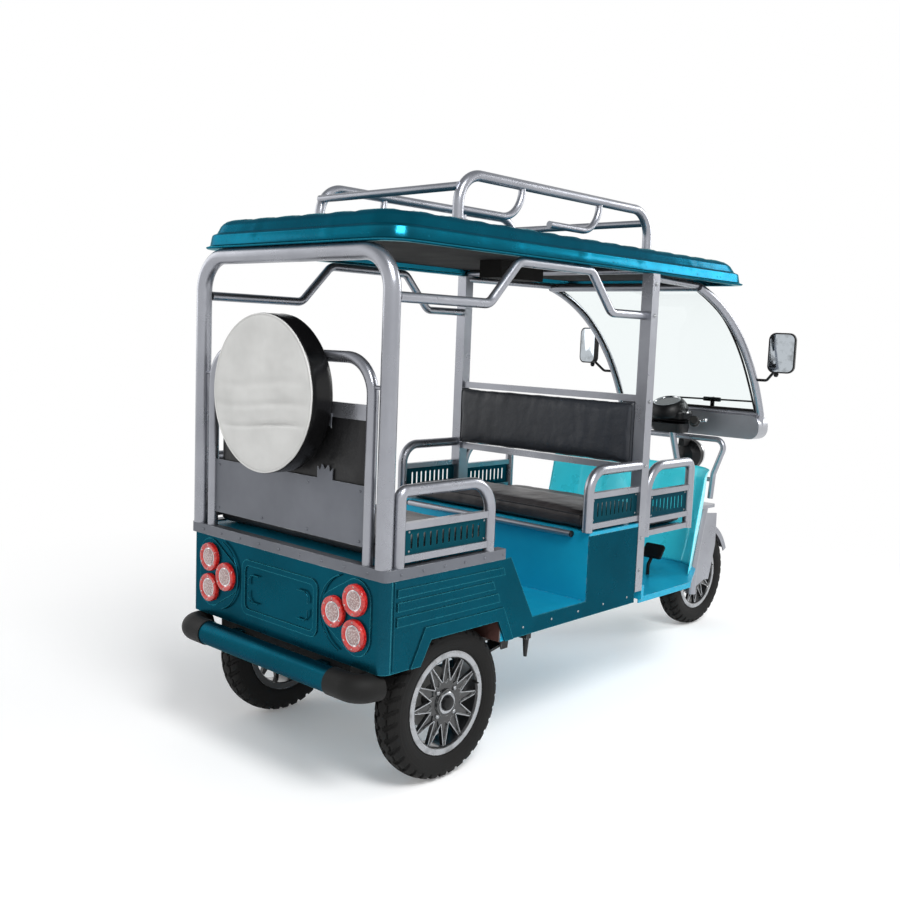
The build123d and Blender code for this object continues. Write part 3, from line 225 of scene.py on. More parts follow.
# Rear axle: a sand-cast aluminium drive casing with the motor bolted on, left as cast. The sand's
# grit, about 0.6 mm and drawn at 2.4 mm so that it shows, gives the eye a dull grey bloom, and oil
# and road dirt stain it in patches about 55 mm across.
casting, tree, shader, place = new_material("cast_aluminium")
grit = add(tree, "ShaderNodeTexNoise", {"Scale": 1000 / 2.38, "Detail": 3}, {"Vector": place})
stain = add(tree, "ShaderNodeTexNoise", {"Scale": 1000 / 55.6, "Detail": 5}, {"Vector": place})
two_tone(tree, shader.inputs["Base Color"], stain.outputs["Fac"], 0.4, 0.7, "#a2a3a2", "#86857f")
shader.inputs["Metallic"].default_value = 0.5
shader.inputs["Roughness"].default_value = 0.6
bump = add(tree, "ShaderNodeBump", {"Strength": 0.35, "Distance": 0.001},
           {"Height": grit.outputs["Fac"]})
tree.links.new(bump.outputs["Normal"], shader.inputs["Normal"])
dress(casting, "rear_axle")

# Wheel tubs: bare pressed sheet between the wheels and the seat box, dipped in red-brown primer.
# With no top coat it gives the eye a chalky, dusty surface.
tub_primer = painted("red_brown_primer", "#4a2f2a", "#3b2723", 0.0, 0.75, 0.0, peel=0.2)
dress(tub_primer, "wheel_tubs")

# Floor and seat boxes: folded steel sheet in bright teal, with less flake than the outer panels.
# Its low sheen gives the eye a lit inside against the deep outer teal.
bright_teal = painted("bright_teal_paint", "#12a0c2", "#1094b8", 0.35, 0.32, 0.12, flake=0.05,
                      gloss=0.15)
dress(bright_teal, "floor_pan", "seat_boxes")

# Rear and side panels: pressed steel in metallic deep teal, welded at the corners and screwed to
# the sill. The flake under the lacquer gives the eye a depth that shifts from deep to bright teal.
# Pressed beads curve round each lamp cluster, and brackets stand in the framed middle.
# Its pale teal edge colour, laid nearly unbroken along every edge and bead, is a painted highlight.
body_teal = painted("metallic_teal_paint", "#0b4a5c", "#094050", 0.9, 0.25, 0.04, flake=0.05,
                    gloss=0.05, edge="#57bccb", steady_edge=0.8, veil="#14a8ac")
dress(body_teal, "rear_panel", "side_panels")
SIDES = ((-1, "left"), (1, "right"))


def wire(name, points, radius, material, body, closed=False, smooth=True):
    """A round bead, seal or lever along points, as a bevelled curve."""
    line = bpy.data.curves.new(name, "CURVE")
    line.dimensions = "3D"
    line.bevel_depth = radius / 1000
    line.bevel_resolution = 3
    line.use_fill_caps = True
    run = line.splines.new("NURBS" if smooth else "POLY")
    run.points.add(len(points) - 1)
    for knot, place_at in zip(run.points, points):
        knot.co = [*at(*place_at), 1]
    if smooth:
        run.order_u = 3
        run.use_endpoint_u = not closed
    run.use_cyclic_u = closed
    line.materials.append(material)
    made = bpy.data.objects.new(name, line)
    bpy.context.scene.collection.objects.link(made)
    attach(made, body)
    return made


for side, tag in SIDES:
    bead = [(side * (330 + 128 * math.cos(math.radians(t))), -325.2,
             548 + 118 * math.sin(math.radians(t))) for t in range(110, 251, 10)]
    wire("rear_panel_bead_" + tag, bead, 2.4, body_teal, "chassis")
    for level in (-1, 1):
        step = [(side * 96, -324.6, 535 + level * 44), (side * 132, -324.6, 535 + level * 44),
                (side * 146, -324.6, 535 + level * 30), (side * 146, -324.6, 535 + level * 10)]
        wire(f"rear_panel_bracket_{tag}_{'low' if level < 0 else 'high'}", step, 2.2, body_teal,
             "chassis", smooth=False)
    wire("side_panel_bead_" + tag, [(side * 468.6, -280, 408), (side * 468.6, -280, 664)], 2.6,
         body_teal, "chassis", smooth=False)


def piece(name, vertices, faces, materials, body, indices=None, smooth=True, crease=None):
    """A mesh object from places in millimetres, riding on a CAD body; crease is a sharp angle."""
    mesh = bpy.data.meshes.new(name)
    mesh.from_pydata([at(*v) for v in vertices], [], faces)
    for item in materials:
        mesh.materials.append(item)
    if indices:
        mesh.polygons.foreach_set("material_index", indices)
    if crease:
        shape = bmesh.new()
        shape.from_mesh(mesh)
        bmesh.ops.remove_doubles(shape, verts=shape.verts, dist=0.00002)
        bmesh.ops.recalc_face_normals(shape, faces=shape.faces)
        shape.to_mesh(mesh)
        shape.free()
    mesh.polygons.foreach_set("use_smooth", [smooth] * len(mesh.polygons))
    if crease:
        mesh.set_sharp_from_angle(angle=crease)
    mesh.update()
    made = bpy.data.objects.new(name, mesh)
    bpy.context.scene.collection.objects.link(made)
    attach(made, body)
    return made


def studs(name, places, normal, radius, height, material, body, sides=12):
    """Domed heads of rivets, screws or bolts at places that all face one way."""
    normal = Vector(normal).normalized()
    side = normal.orthogonal().normalized()
    across = normal.cross(side)
    points, faces = [], []
    rows = [(radius, -0.4), (radius, height * 0.35), (radius * 0.8, height * 0.8)]
    for place_at in places:
        first = len(points)
        for r, up_by in rows:
            for i in range(sides):
                turn = 2 * math.pi * i / sides
                points.append(Vector(place_at) + normal * up_by
                              + (side * math.cos(turn) + across * math.sin(turn)) * r)
        points.append(Vector(place_at) + normal * height)
        for i in range(sides):
            j = (i + 1) % sides
            for row in range(len(rows) - 1):
                a, b = first + row * sides, first + (row + 1) * sides
                faces.append((a + i, a + j, b + j, b + i))
            top = first + (len(rows) - 1) * sides
            faces.append((top + i, top + j, first + len(rows) * sides))
    return piece(name, points, faces, [material], body)


def bright_metal(name, colour, rough, scratch=0.1):
    """Bare or plated metal: grime in patches of 33 mm, and turning marks, which are 0.1 mm apart
    and are drawn at 1.4 mm so that they show."""
    made, tree, shader, place = new_material(name)
    grime = add(tree, "ShaderNodeTexNoise", {"Scale": 1000 / 33.3, "Detail": 4}, {"Vector": place})
    two_tone(tree, shader.inputs["Base Color"], grime.outputs["Fac"], 0.5, 0.75, colour, "#4b4a47", 0.5)
    shader.inputs["Metallic"].default_value = 1.0
    dull = add(tree, "ShaderNodeMapRange", {"From Min": 0.4, "From Max": 0.7, "To Min": rough,
                                            "To Max": rough + 0.15}, {"Value": grime.outputs["Fac"]})
    tree.links.new(dull.outputs["Result"], shader.inputs["Roughness"])
    marks = add(tree, "ShaderNodeTexNoise", {"Scale": 1000 / 1.43, "Detail": 2}, {"Vector": place})
    bump = add(tree, "ShaderNodeBump", {"Strength": scratch, "Distance": 0.0003},
               {"Height": marks.outputs["Fac"]})
    tree.links.new(bump.outputs["Normal"], shader.inputs["Normal"])
    return made


# Zinc-plated screws: a soft blue-grey glint with no mirror.
zinc = bright_metal("zinc_plate", "#9fa1a4", 0.32)
for side, tag in SIDES:
    studs("sill_screws_" + tag, [(side * 468, y, 430) for y in range(300, 930, 150)],
          (side, 0, 0), 4, 2, zinc, "chassis")

# Body rail and back panels: folded sheet painted mid grey, riveted on from outside with the heads
# painted over. A plain grey with little metal in it gives the eye a flat, quiet band.
rail_grey = painted("rail_grey_paint", "#6c6f76", "#60636a", 0.6, 0.38, 0.1, gloss=0.2)
dress(rail_grey, "body_rail", "back_panel")
for side, tag in SIDES:
    studs("rail_rivets_" + tag, [(side * 472, y, 684) for y in range(-260, 190, 88)], (side, 0, 0), 4.5,
          2.4, rail_grey, "chassis")
studs("rear_rail_rivets", [(x, -322, 684) for x in range(-400, 401, 100)], (0, -1, 0), 4.5, 2.4,
      rail_grey, "chassis")
studs("back_panel_rivets", [(x, -304.5, z) for x in (-340, -110, 110, 340) for z in (762, 905)],
      (0, -1, 0), 4, 2, rail_grey, "chassis")

# Tube frame: bent steel tube for the hoop, posts, rack, arches, guards, fork and mudguard, welded
# and sprayed silver-grey. The silver's fine metal gives the eye a bright streak down each tube.
# Hexagon bolts hold the middle posts to the sill, the guards and the roof's bearers.
tube_silver = painted("silver_grey_paint", "#a2a4ab", "#92949b", 0.88, 0.26, 0.1, peel=0.02)
dress(tube_silver, "rear_hoop", "roof_frame", "roof_rack", "windscreen_frame", "side_guards",
      "bench_rails", "fork", "mudguard")
for side, tag in SIDES:
    studs("post_bolts_" + tag, [(side * 470, 973, z) for z in (520, 640, 905, 1140, 1449, 1560)],
          (side, 0, 0), 7, 4.5, zinc, "chassis", 6)

# Guard plates: punched sheet in a flatter teal, screwed at the corners inside each tube guard.
# Less flake than the panels gives the eye an even tone behind the dark slots.
# Its lighter teal edge colour, laid along the plates' edges with few breaks, is a painted highlight.
plate_teal = painted("guard_plate_teal_paint", "#0d4652", "#0b3d48", 0.7, 0.34, 0.04, gloss=0.08,
                     edge="#2f7f8c", steady_edge=0.6, veil="#0a8fa0")
dress(plate_teal, "guard_plates")
# Plates: back, front, low and high places of their screws
PLATES = ((-220, 100, 742, 798), (676, 940, 736, 804), (1052, 1290, 714, 782))
for side, tag in SIDES:
    studs("plate_screws_" + tag,
          [(side * 456.5, y, z) for y0, y1, z0, z1 in PLATES for y in (y0, y1) for z in (z0, z1)],
          (side, 0, 0), 3.6, 1.8, zinc, "chassis")

# Bumper: a teal steel tube with a moulded rubber cap at each bent end, on stubs bolted to the
# chassis. The rubber's grain gives the eye a dull black beside the lacquered tube. The pedal's pad
# is the same rubber.
dress(body_teal, "bumper")


def moulded(name, colour, shade, rough, grain=0.2, size=1.2):
    """Moulded plastic, board or rubber: a change of shade over 110 mm, and the mould's grain, which
    is about 0.3 mm and is drawn at size millimetres so that it shows."""
    made, tree, shader, place = new_material(name)
    cloud = add(tree, "ShaderNodeTexNoise", {"Scale": 1000 / 111, "Detail": 4}, {"Vector": place})
    two_tone(tree, shader.inputs["Base Color"], cloud.outputs["Fac"], 0.35, 0.7, colour, shade)
    dull = add(tree, "ShaderNodeMapRange", {"From Min": 0.3, "From Max": 0.7, "To Min": rough,
                                            "To Max": rough + 0.1}, {"Value": cloud.outputs["Fac"]})
    tree.links.new(dull.outputs["Result"], shader.inputs["Roughness"])
    shader.inputs["Specular IOR Level"].default_value = 0.25
    grains = add(tree, "ShaderNodeTexNoise", {"Scale": 1000 / size, "Detail": 2}, {"Vector": place})
    bump = add(tree, "ShaderNodeBump", {"Strength": grain, "Distance": 0.0006},
               {"Height": grains.outputs["Fac"]})
    tree.links.new(bump.outputs["Normal"], shader.inputs["Normal"])
    return made


black_rubber = moulded("black_rubber", "#0c0c0c", "#121211", 0.55, 0.4)
dress(black_rubber, "bumper_caps", "pedal")
for side, tag in SIDES:
    for end, where in ((-1, "in"), (1, "out")):
        studs(f"bumper_stub_bolts_{tag}_{where}",
              [(side * 210 + end * 20, y, 372) for y in (-330, -312)], (end, 0, 0), 5, 3.4, zinc,
              "chassis", 6)

# Tyres: moulded rubber, with shoulder lugs, a zigzag centre rib and rings on the sidewall. Dry
# rubber with a trace of road dust gives the eye a brown-black with hardly any shine.
# Profile: across the tyre, radius; the tread runs between the two shoulder points.
tyre_rubber = moulded("tyre_rubber", "#0b0b0b", "#121110", 0.7, 0.5, 1.6)
WHEELS = (("rear_tyre_left", -386, 0, "rear_wheel_left"),
          ("rear_tyre_right", 386, 0, "rear_wheel_right"),
          ("front_tyre", 0, 2200, "front_wheel"))
WHEEL_HEIGHT, TREAD_TURNS, TREAD_PITCHES = 240, 432, 36
wall = [(35.5, 148), (35.6, 158), (38.5, 166), (41, 168), (42.5, 173), (44, 176), (46.6, 187),
        (47.7, 198), (47.4, 207), (47.8, 209), (46.3, 216)]
crown = [(44.4 - 44.4 * i / 22, 0) for i in range(45)]


def crown_radius(x):
    """Radius at a place across the tread: it falls 4.2 mm by 30 mm out, and 7.2 mm more over the
    shoulder's last 18.4 mm."""
    return 239.7 - 4.2 * (x / 30) ** 2 - 7.2 * max(0, (abs(x) - 26) / 18.4) ** 2


def groove(x, turn):
    """Depth of the tread's grooves at a place across and round the tyre: a zigzag groove 5.2 mm
    wide on each side, slanted gaps outside it and short cuts inside it."""
    pitch = turn * TREAD_PITCHES / (2 * math.pi)
    step = pitch % 1
    zigzag = 17 + 3.5 * (1 if step < 0.5 else -1)
    if abs(abs(x) - zigzag) < 2.6:
        return 6.5
    if abs(x) > zigzag:
        slant = (pitch + 0.018 * (abs(x) - 20) + (0.5 if x > 0 else 0)) % 1
        return 8.0 if slant < 0.34 else 0
    return 4.0 if abs(step - 0.75) < 0.09 and abs(x) > 5 else 0


for node_name, wheel_x, wheel_y, body in WHEELS:
    section = wall + crown + [(-x, r) for x, r in reversed(wall)]
    points, faces = [], []
    for i in range(TREAD_TURNS):
        turn = 2 * math.pi * i / TREAD_TURNS
        for x, r in section:
            if not r:
                r = crown_radius(x) - groove(x, turn)
            points.append((wheel_x + x, wheel_y + r * math.cos(turn),
                           WHEEL_HEIGHT + r * math.sin(turn)))
    count = len(section)
    for i in range(TREAD_TURNS):
        first, following = i * count, (i + 1) % TREAD_TURNS * count
        for j in range(count - 1):
            faces.append((first + j, first + j + 1, following + j + 1, following + j))
        faces.append((first, following, following + count - 1, first + count - 1))
    tyre = piece(node_name + "_tread", points, faces, [tyre_rubber], body, smooth=False)
    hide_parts(node_name)

# Rims: cast alloy wheels in gloss black, with the petals' edges and the lip machined bright after
# painting. The black gives the eye a wet shine, the bare cuts a grey glint. The CAD rims carry the
# paint; the edges, lips, hub rings, caps, lug bolts and valves are added.
rim_black = painted("wheel_black_gloss_paint", "#101113", "#17181a", 0.0, 0.28, 0.5, gloss=0.5)
machined = bright_metal("machined_alloy", "#aaacaf", 0.2, 0.25)
dress(rim_black, "rear_rim_left", "rear_rim_right", "front_rim")
# Moulded ABS of the hub caps, and of the console, mirrors, lamp shell and wiper further on: its
# fine grain gives the eye a soft black sheen.
black_plastic = moulded("black_plastic", "#101113", "#0b0c0d", 0.34)


def turned(name, profile, centre, axis, materials, body, turns=64, slots=None):
    """A turned piece. Profile rows are radius and distance along the axis; slots says which of
    the materials each row has."""
    axis = Vector(axis).normalized()
    side = axis.orthogonal().normalized()
    across = axis.cross(side)
    points, faces, indices = [], [], []
    for i in range(turns):
        turn = 2 * math.pi * i / turns
        for r, along in profile:
            points.append(Vector(centre) + axis * along
                          + (side * math.cos(turn) + across * math.sin(turn)) * r)
    rows = len(profile)
    for i in range(turns):
        for j in range(rows - 1):
            a, b = i * rows + j, (i + 1) % turns * rows + j
            faces.append((a, a + 1, b + 1, b))
            indices.append(slots[j] if slots else 0)
    return piece(name, points, faces, materials, body, indices, crease=0.6)


# Wheels: name, x of the middle, y of the axle, side the disc faces, hub end, body
RIMS = (("rear_rim_left", -386, 0, -1, 38, "rear_wheel_left"),
        ("rear_rim_right", 386, 0, 1, 38, "rear_wheel_right"),
        ("front_rim", 0, 2200, 1, 34, "front_wheel"))
# Petals: how many, radius where two meet, radius of their tips, height of the disc's face
PETALS, VALLEY, TIP, DISC = 12, 68, 141, 32
LUG_CIRCLE, VALVE_OUT, VALVE_TURN = 52, 136, 0.26
for node_name, wheel_x, wheel_y, facing, hub_end, body in RIMS:
    centre, outward = (wheel_x, wheel_y, WHEEL_HEIGHT), (facing, 0, 0)
    points, faces = [], []
    for i in range(PETALS):
        turn = 2 * math.pi * i / PETALS
        for edge in (-1, 1):
            ends = ((VALLEY - 3, VALLEY * 0.262), (TIP - 1, 5.2))
            for r, half in ends:
                for width, lift in ((0.2, 0), (0.2, 1.5), (-2.6, 1.5), (-3.0, 0)):
                    aside = edge * (half + width)
                    points.append((wheel_x + facing * (DISC + lift),
                                   wheel_y + r * math.cos(turn) - aside * math.sin(turn),
                                   WHEEL_HEIGHT + r * math.sin(turn) + aside * math.cos(turn)))
            n = len(points) - 8
            for j in range(3):
                faces.append((n + j, n + j + 1, n + j + 5, n + j + 4))
            faces.append((n, n + 3, n + 2, n + 1))
            faces.append((n + 4, n + 5, n + 6, n + 7))
    edges = piece(node_name + "_petal_edges", points, faces, [machined], body, crease=0.5)
    lip = turned(node_name + "_bright_lip",
                 [(142.6, 31), (141.4, 36), (142, 39.4), (146, 40.6), (157, 40.6), (160.4, 39),
                  (160.6, 36)], centre, outward, [machined], body, 120)
    hub = turned(node_name + "_hub_ring",
                 [(24, hub_end - 1), (24, hub_end + 2), (26, hub_end + 3), (32, hub_end + 3),
                  (34, hub_end + 1.5), (34, hub_end - 1)], centre, outward, [machined], body, 72)
    if node_name != "front_rim":
        cap = turned(node_name + "_hub_cap",
                     [(23, hub_end - 1), (23, hub_end + 6), (20, hub_end + 11), (12, hub_end + 14),
                      (0, hub_end + 15)], centre, outward, [black_plastic], body, 48)
    lugs = studs(node_name + "_lug_bolts",
                 [(wheel_x + facing * DISC, wheel_y + LUG_CIRCLE * math.cos(math.radians(t)),
                   WHEEL_HEIGHT + LUG_CIRCLE * math.sin(math.radians(t)))
                  for t in range(45, 360, 90)],
                 outward, 7.5, 7, zinc, body, 6)
    turned(node_name + "_valve", [(4, 26), (4, 40), (2.6, 42), (2.6, 48), (0, 48)],
           (wheel_x, wheel_y + VALVE_OUT * math.cos(VALVE_TURN),
            WHEEL_HEIGHT + VALVE_OUT * math.sin(VALVE_TURN)), outward, [black_rubber], body, 16)

# Roof: a glass-fibre moulding in teal gelcoat with a turned lip, a fascia creased at mid-height, a
# rolled shoulder and short pressed ribs along the top's edge, pop-riveted to the frame in pairs.
# Gelcoat gives the eye a long, glassy highlight.
# Its pale teal edge colour, laid nearly unbroken along the lip, creases and ribs, is a painted
# highlight.
roof_teal = painted("roof_teal_gelcoat", "#0a6379", "#09576c", 0.9, 0.18, 0.05, flake=0.05,
                    gloss=0.06, edge="#57bccb", steady_edge=0.9, veil="#14b0b8")
# Rows of the outside and the inside: height above the lip, inset from the lip
SHELL = [(6, 34), (0, 30), (0, 2), (2, 0), (5, 0), (8, 7), (11, 10), (38, 14), (42, 15), (45, 18),
         (48, 25), (51, 27.5), (72, 36), (80, 42), (87, 50), (92, 62), (94.5, 84), (95.5, 108),
         (96.4, 132), (97.4, 158), (99, 190), (100, 260), (101, 350), (101.5, 455)]
INSIDE = [(10, 26), (60, 38), (82, 52), (88, 90), (90, 200), (92, 455)]
ROOF_HALF, ROOF_REAR, ROOF_FRONT, ROOF_LOW, RIB_PITCH = 464, -326, 1700, 1598, 118


def roof_row(height, inset, ribbed):
    """A loop round the roof at one height: a rounded plan, with ribs pressed into the top's edge
    or slight swells on the fascia."""
    # The corners' radius and the front's rake back change as the roof closes in.
    radius = max(92 - inset * 0.19, 3)
    reach = 1 + 0.7 * (height / 101) ** 2
    x = ROOF_HALF - inset
    back, front = ROOF_REAR + inset * 0.94, ROOF_FRONT - inset * reach
    radius = min(radius, x - 1)
    loop = []
    corners = ((x, front, 0), (-x, front, 90), (-x, back, 180), (x, back, 270))
    for n, (cx, cy, start) in enumerate(corners):
        mx = cx - math.copysign(radius, cx)
        my = cy - radius if n < 2 else cy + radius
        for i in range(9):
            turn = math.radians(start + 90 * i / 8)
            loop.append((mx + radius * math.cos(turn), my + radius * math.sin(turn)))
        nx, ny, _ = corners[(n + 1) % 4]
        ahead_x = nx - math.copysign(radius, nx)
        ahead_y = ny - radius if (n + 1) % 4 < 2 else ny + radius
        last = loop[-1]
        goal = (ahead_x, ny) if n in (0, 2) else (nx, ahead_y)
        steps = 72 if n in (1, 3) else 36
        for i in range(1, steps):
            loop.append((last[0] + (goal[0] - last[0]) * i / steps,
                         last[1] + (goal[1] - last[1]) * i / steps))
    rows = []
    for px, py in loop:
        press = 0
        along = py - ROOF_REAR if abs(px) > x - radius - 1 else px
        if ribbed:
            press = 5 * max(0, math.cos(2 * math.pi * along / RIB_PITCH)) ** 0.6
        elif 34 < height < 92 and inset < 70:
            proud = 2.6 * math.exp(-((along % (3 * RIB_PITCH) - 1.5 * RIB_PITCH) / 9) ** 2)
            px, py = (px + math.copysign(proud, px), py) if abs(px) > x - 1 else (
                px, py + math.copysign(proud, py - 600))
        rows.append((px, py, ROOF_LOW + height - press))
    return rows


loops = [roof_row(h, i, False) for h, i in reversed(INSIDE)]
loops += [roof_row(h, i, 60 < i < 120) for h, i in SHELL]
count = len(loops[0])
points = [place_at for loop in loops for place_at in loop]
faces = [(a * count + b, a * count + (b + 1) % count, (a + 1) * count + (b + 1) % count,
          (a + 1) * count + b) for a in range(len(loops) - 1) for b in range(count)]
faces.append(tuple(range(count)))
faces.append(tuple(reversed(range((len(loops) - 1) * count, len(loops) * count))))
roof = piece("roof_moulding", points, faces, [roof_teal], "chassis", crease=0.9)
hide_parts("roof_shell")
for name, face, places in (
        ("left", (-1, 0, 0), [(-451, y, 1618) for y in range(-180, 1600, 180)]),
        ("right", (1, 0, 0), [(451, y, 1618) for y in range(-180, 1600, 180)]),
        ("rear", (0, -1, 0), [(x, -313.5, 1618) for x in range(-330, 340, 165)])):
    step = (26, 0, 0) if name == "rear" else (0, 26, 0)
    pairs = [Vector(first) + Vector(step) * n for first in places for n in (0, 1)]
    studs("roof_rivets_" + name, pairs, face, 4.2, 2.2, roof_teal, "chassis")

# Rack feet: round flanges welded to the rack's legs, each held by three zinc-plated screws through
# the roof's top into the bearers.
for side, tag in SIDES:
    for x, y, end in ((side * 322, 75, "_rear"), (side * 322, 1125, "_front")):
        turned("rack_flange_" + tag + end,
               [(17.3, 0), (17.3, 9), (21, 4.5), (34, 4), (36, 2), (36, -4)],
               (x, y, 1693), (0, 0, 1), [tube_silver], "chassis", 40)
        studs("rack_screws_" + tag + end, [(x + 28 * math.cos(t), y + 28 * math.sin(t), 1697)
                                           for t in (0.5, 2.6, 4.7)],
              (0, 0, 1), 4, 2.6, zinc, "chassis", 6)

# Roof lining: dark grey-brown fibre board under the shell, with the black box that hangs from it.
# The board's fibres, about 2 mm long, give the eye a felt-like darkness.
lining_board = moulded("lining_board", "#151413", "#100f0e", 0.8, 0.5, 2.0)
dress(lining_board, "roof_lining")

# Leg shield: a glass-fibre moulding bolted to the floor's edge, with a swollen panel on each side
# of its middle and a rolled rim. Its bright gelcoat gives the eye the palest teal of all.
shield_teal = painted("leg_shield_teal_gelcoat", "#48e2ef", "#3ad4e3", 0.15, 0.26, 0.4, flake=0.05,
                      gloss=0.3)
# Foot, top and lean forward with height, then the plan at the foot: place across, place along
SHIELD_LOW, SHIELD_TOP, SHIELD_LEAN = 410.4, 826, 0.22
plan = [(-388, 1480), (-340, 1590), (-322, 1622), (-280, 1666), (-235, 1690), (235, 1690),
        (280, 1666), (322, 1622), (340, 1590), (388, 1480)]
runs = [0]
for (ax, ay), (bx, by) in zip(plan, plan[1:]):
    runs.append(runs[-1] + math.hypot(bx - ax, by - ay))


def shield_at(distance):
    """Place across, place along and outward direction at a distance along the shield's plan."""
    for (ax, ay), (bx, by), start, end in zip(plan, plan[1:], runs, runs[1:]):
        if distance <= end or end == runs[-1]:
            share = (distance - start) / (end - start)
            ahead_x, ahead_y = (bx - ax) / (end - start), (by - ay) / (end - start)
            return ax + (bx - ax) * share, ay + (by - ay) * share, -ahead_y, ahead_x


points, faces = [], []
ACROSS, UP = 96, 44
for j in range(UP + 1):
    rise = j / UP
    height = SHIELD_LOW + (SHIELD_TOP - SHIELD_LOW) * rise
    for i in range(ACROSS + 1):
        share = i / ACROSS
        x, y, out_x, out_y = shield_at(share * runs[-1])
        swell = 11 * math.sin(math.pi * min(max((abs(share - 0.5) - 0.06) / 0.34, 0), 1)) ** 1.2
        swell *= math.sin(math.pi * min(max((rise - 0.06) / 0.82, 0), 1)) ** 0.8
        rim = 5 * max(0, (rise - 0.94) / 0.06) ** 2
        fold = 1.6 * math.sin(34 * share + 5 * rise) * math.sin(math.pi * rise)
        lift = swell + rim + fold - 1.5
        lean = SHIELD_LEAN * (height - SHIELD_LOW)
        points.append((x + out_x * lift, y + out_y * lift + lean, height))
for j in range(UP):
    for i in range(ACROSS):
        a = j * (ACROSS + 1) + i
        faces.append((a, a + 1, a + ACROSS + 2, a + ACROSS + 1))
shield = piece("leg_shield_moulding", points, faces, [shield_teal], "chassis")
thick = shield.modifiers.new("sheet", "SOLIDIFY")
thick.thickness = 0.003
thick.offset = 0
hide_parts("leg_shield")

# Tail lamps: round clusters of three a side, each a red acrylic bezel with a bright inner ring and
# a clear lens over a white reflector, clipped in from outside. Tinted acrylic gives the eye a red
# that glows a little inside; its ribs are about 8 mm apart.
lamp_red, tree, shader, place = new_material("lamp_red_acrylic")
ribs = add(tree, "ShaderNodeTexNoise", {"Scale": 1000 / 8.33, "Detail": 2}, {"Vector": place})
two_tone(tree, shader.inputs["Base Color"], ribs.outputs["Fac"], 0.4, 0.65, "#a81414", "#c8322a")
shader.inputs["Roughness"].default_value = 0.16
shader.inputs["Subsurface Weight"].default_value = 0.15
shader.inputs["Subsurface Radius"].default_value = (0.004, 0.001, 0.001)
shader.inputs["Coat Weight"].default_value = 0.6
# Clear acrylic with prisms about 5 mm across, over a white reflector: a sparkling pale disc.
lens_white, tree, shader, place = new_material("lamp_clear_lens")
cells = add(tree, "ShaderNodeTexVoronoi", {"Scale": 1000 / 4.76}, {"Vector": place})
two_tone(tree, shader.inputs["Base Color"], cells.outputs["Distance"], 0.1, 0.6, "#cdbdba", "#8f7472")
shader.inputs["Roughness"].default_value = 0.18
shader.inputs["Coat Weight"].default_value = 0.8
bump = add(tree, "ShaderNodeBump", {"Strength": 0.6, "Distance": 0.001},
           {"Height": cells.outputs["Distance"]})
tree.links.new(bump.outputs["Normal"], shader.inputs["Normal"])
# Chrome plate: a mirror with the least grime.
chrome = bright_metal("chrome_plate", "#d4d6d8", 0.08, 0.03)
# Lamp middles: place across, height; rows of the lamp: radius, place outward from the panel
LAMPS = [(side * x, z) for side in (-1, 1) for x, z in ((356, 599), (266, 548), (356, 497))]
LAMP_ROWS = [(46.8, 0), (46.8, 8), (45, 12.5), (41, 14), (34, 13), (30, 10), (29, 9.5), (27.5, 10.5),
             (26.5, 10), (20, 12), (10, 13.4), (0, 13.8)]
for number, (x, z) in enumerate(LAMPS):
    lamp = turned(f"tail_lamp_{number}", LAMP_ROWS, (x, -322, z), (0, -1, 0),
                  [lamp_red, chrome, lens_white], "chassis", 72, [0, 0, 0, 0, 0, 1, 1, 1, 2, 2, 2])
    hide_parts("tail_lamps")
    marks = [math.radians(30 + 60 * i) for i in range(6)]
    studs(f"tail_lamp_{number}_marks",
          [(x + 39 * math.cos(turn), -335.4, z + 39 * math.sin(turn)) for turn in marks],
          (0, -1, 0), 3, 1.0, lens_white, "chassis")

# Spare wheel cover: stretched vinyl with a drawstring behind, off-white over the face and gloss
# black round the side, with piping where they meet, soft folds across and slack creases. The pale
# vinyl gives the eye a matt disc and the side a hard, wet highlight.
face_vinyl = moulded("white_vinyl", "#c8c8c6", "#bdbdbb", 0.42, 0.3, 1.4)
side_vinyl = moulded("black_gloss_vinyl", "#070708", "#0c0c0d", 0.18, 0.2, 1.4)
# Height of its middle, radius, place of its face
SPARE_Z, SPARE_R, SPARE_FACE = 1160, 236, -402
FACE_ROWS = 50
rows = [(SPARE_R * i / (FACE_ROWS + 2), 0) for i in range(FACE_ROWS)]
rows += [(231, 1.5), (234.5, 5), (236, 10), (235, 24), (235.6, 44), (235, 62), (236, 74), (232, 81),
         (SPARE_R * 0.7, 82.4), (SPARE_R * 0.3, 82.4), (0, 82.4)]
TURNS = 180
points, faces, indices = [], [], []
for i in range(TURNS):
    turn = 2 * math.pi * i / TURNS
    for n, (r, depth) in enumerate(rows):
        x, z = r * math.cos(turn), r * math.sin(turn)
        if n < FACE_ROWS:
            edge_fade = 1 - (r / SPARE_R) ** 6
            fold = 0
            for level, deep, width in ((30, 3.6, 12), (-32, 6, 10), (-92, 10, 6)):
                line_z = level + 0.05 * x + 6 * math.sin(x / 70)
                fold += deep * math.exp(-((z - line_z) / width) ** 2) * (0.75 + 0.25 * math.sin(x / 50))
            slack = 2.2 * noise.noise(Vector((x / 95, z / 60, 3.1))) + 1.2 * noise.noise(
                Vector((x / 40, z / 28, 9.2)))
            depth += max(0, (fold + slack + 1.5) * edge_fade)
        else:
            r += 0.9 * noise.noise(Vector((math.cos(turn) * 6, math.sin(turn) * 6, depth / 22)))
            r = min(r, SPARE_R + 0.6)
            x, z = r * math.cos(turn), r * math.sin(turn)
        points.append((x, SPARE_FACE + depth, SPARE_Z + z))
for i in range(TURNS):
    for j in range(len(rows) - 1):
        a, b = i * len(rows) + j, (i + 1) % TURNS * len(rows) + j
        faces.append((a, a + 1, b + 1, b))
        indices.append(0 if j <= FACE_ROWS else 1)
cover = piece("spare_wheel_cover", points, faces, [face_vinyl, side_vinyl], "chassis", indices,
              crease=1.2)
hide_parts("spare_cover")
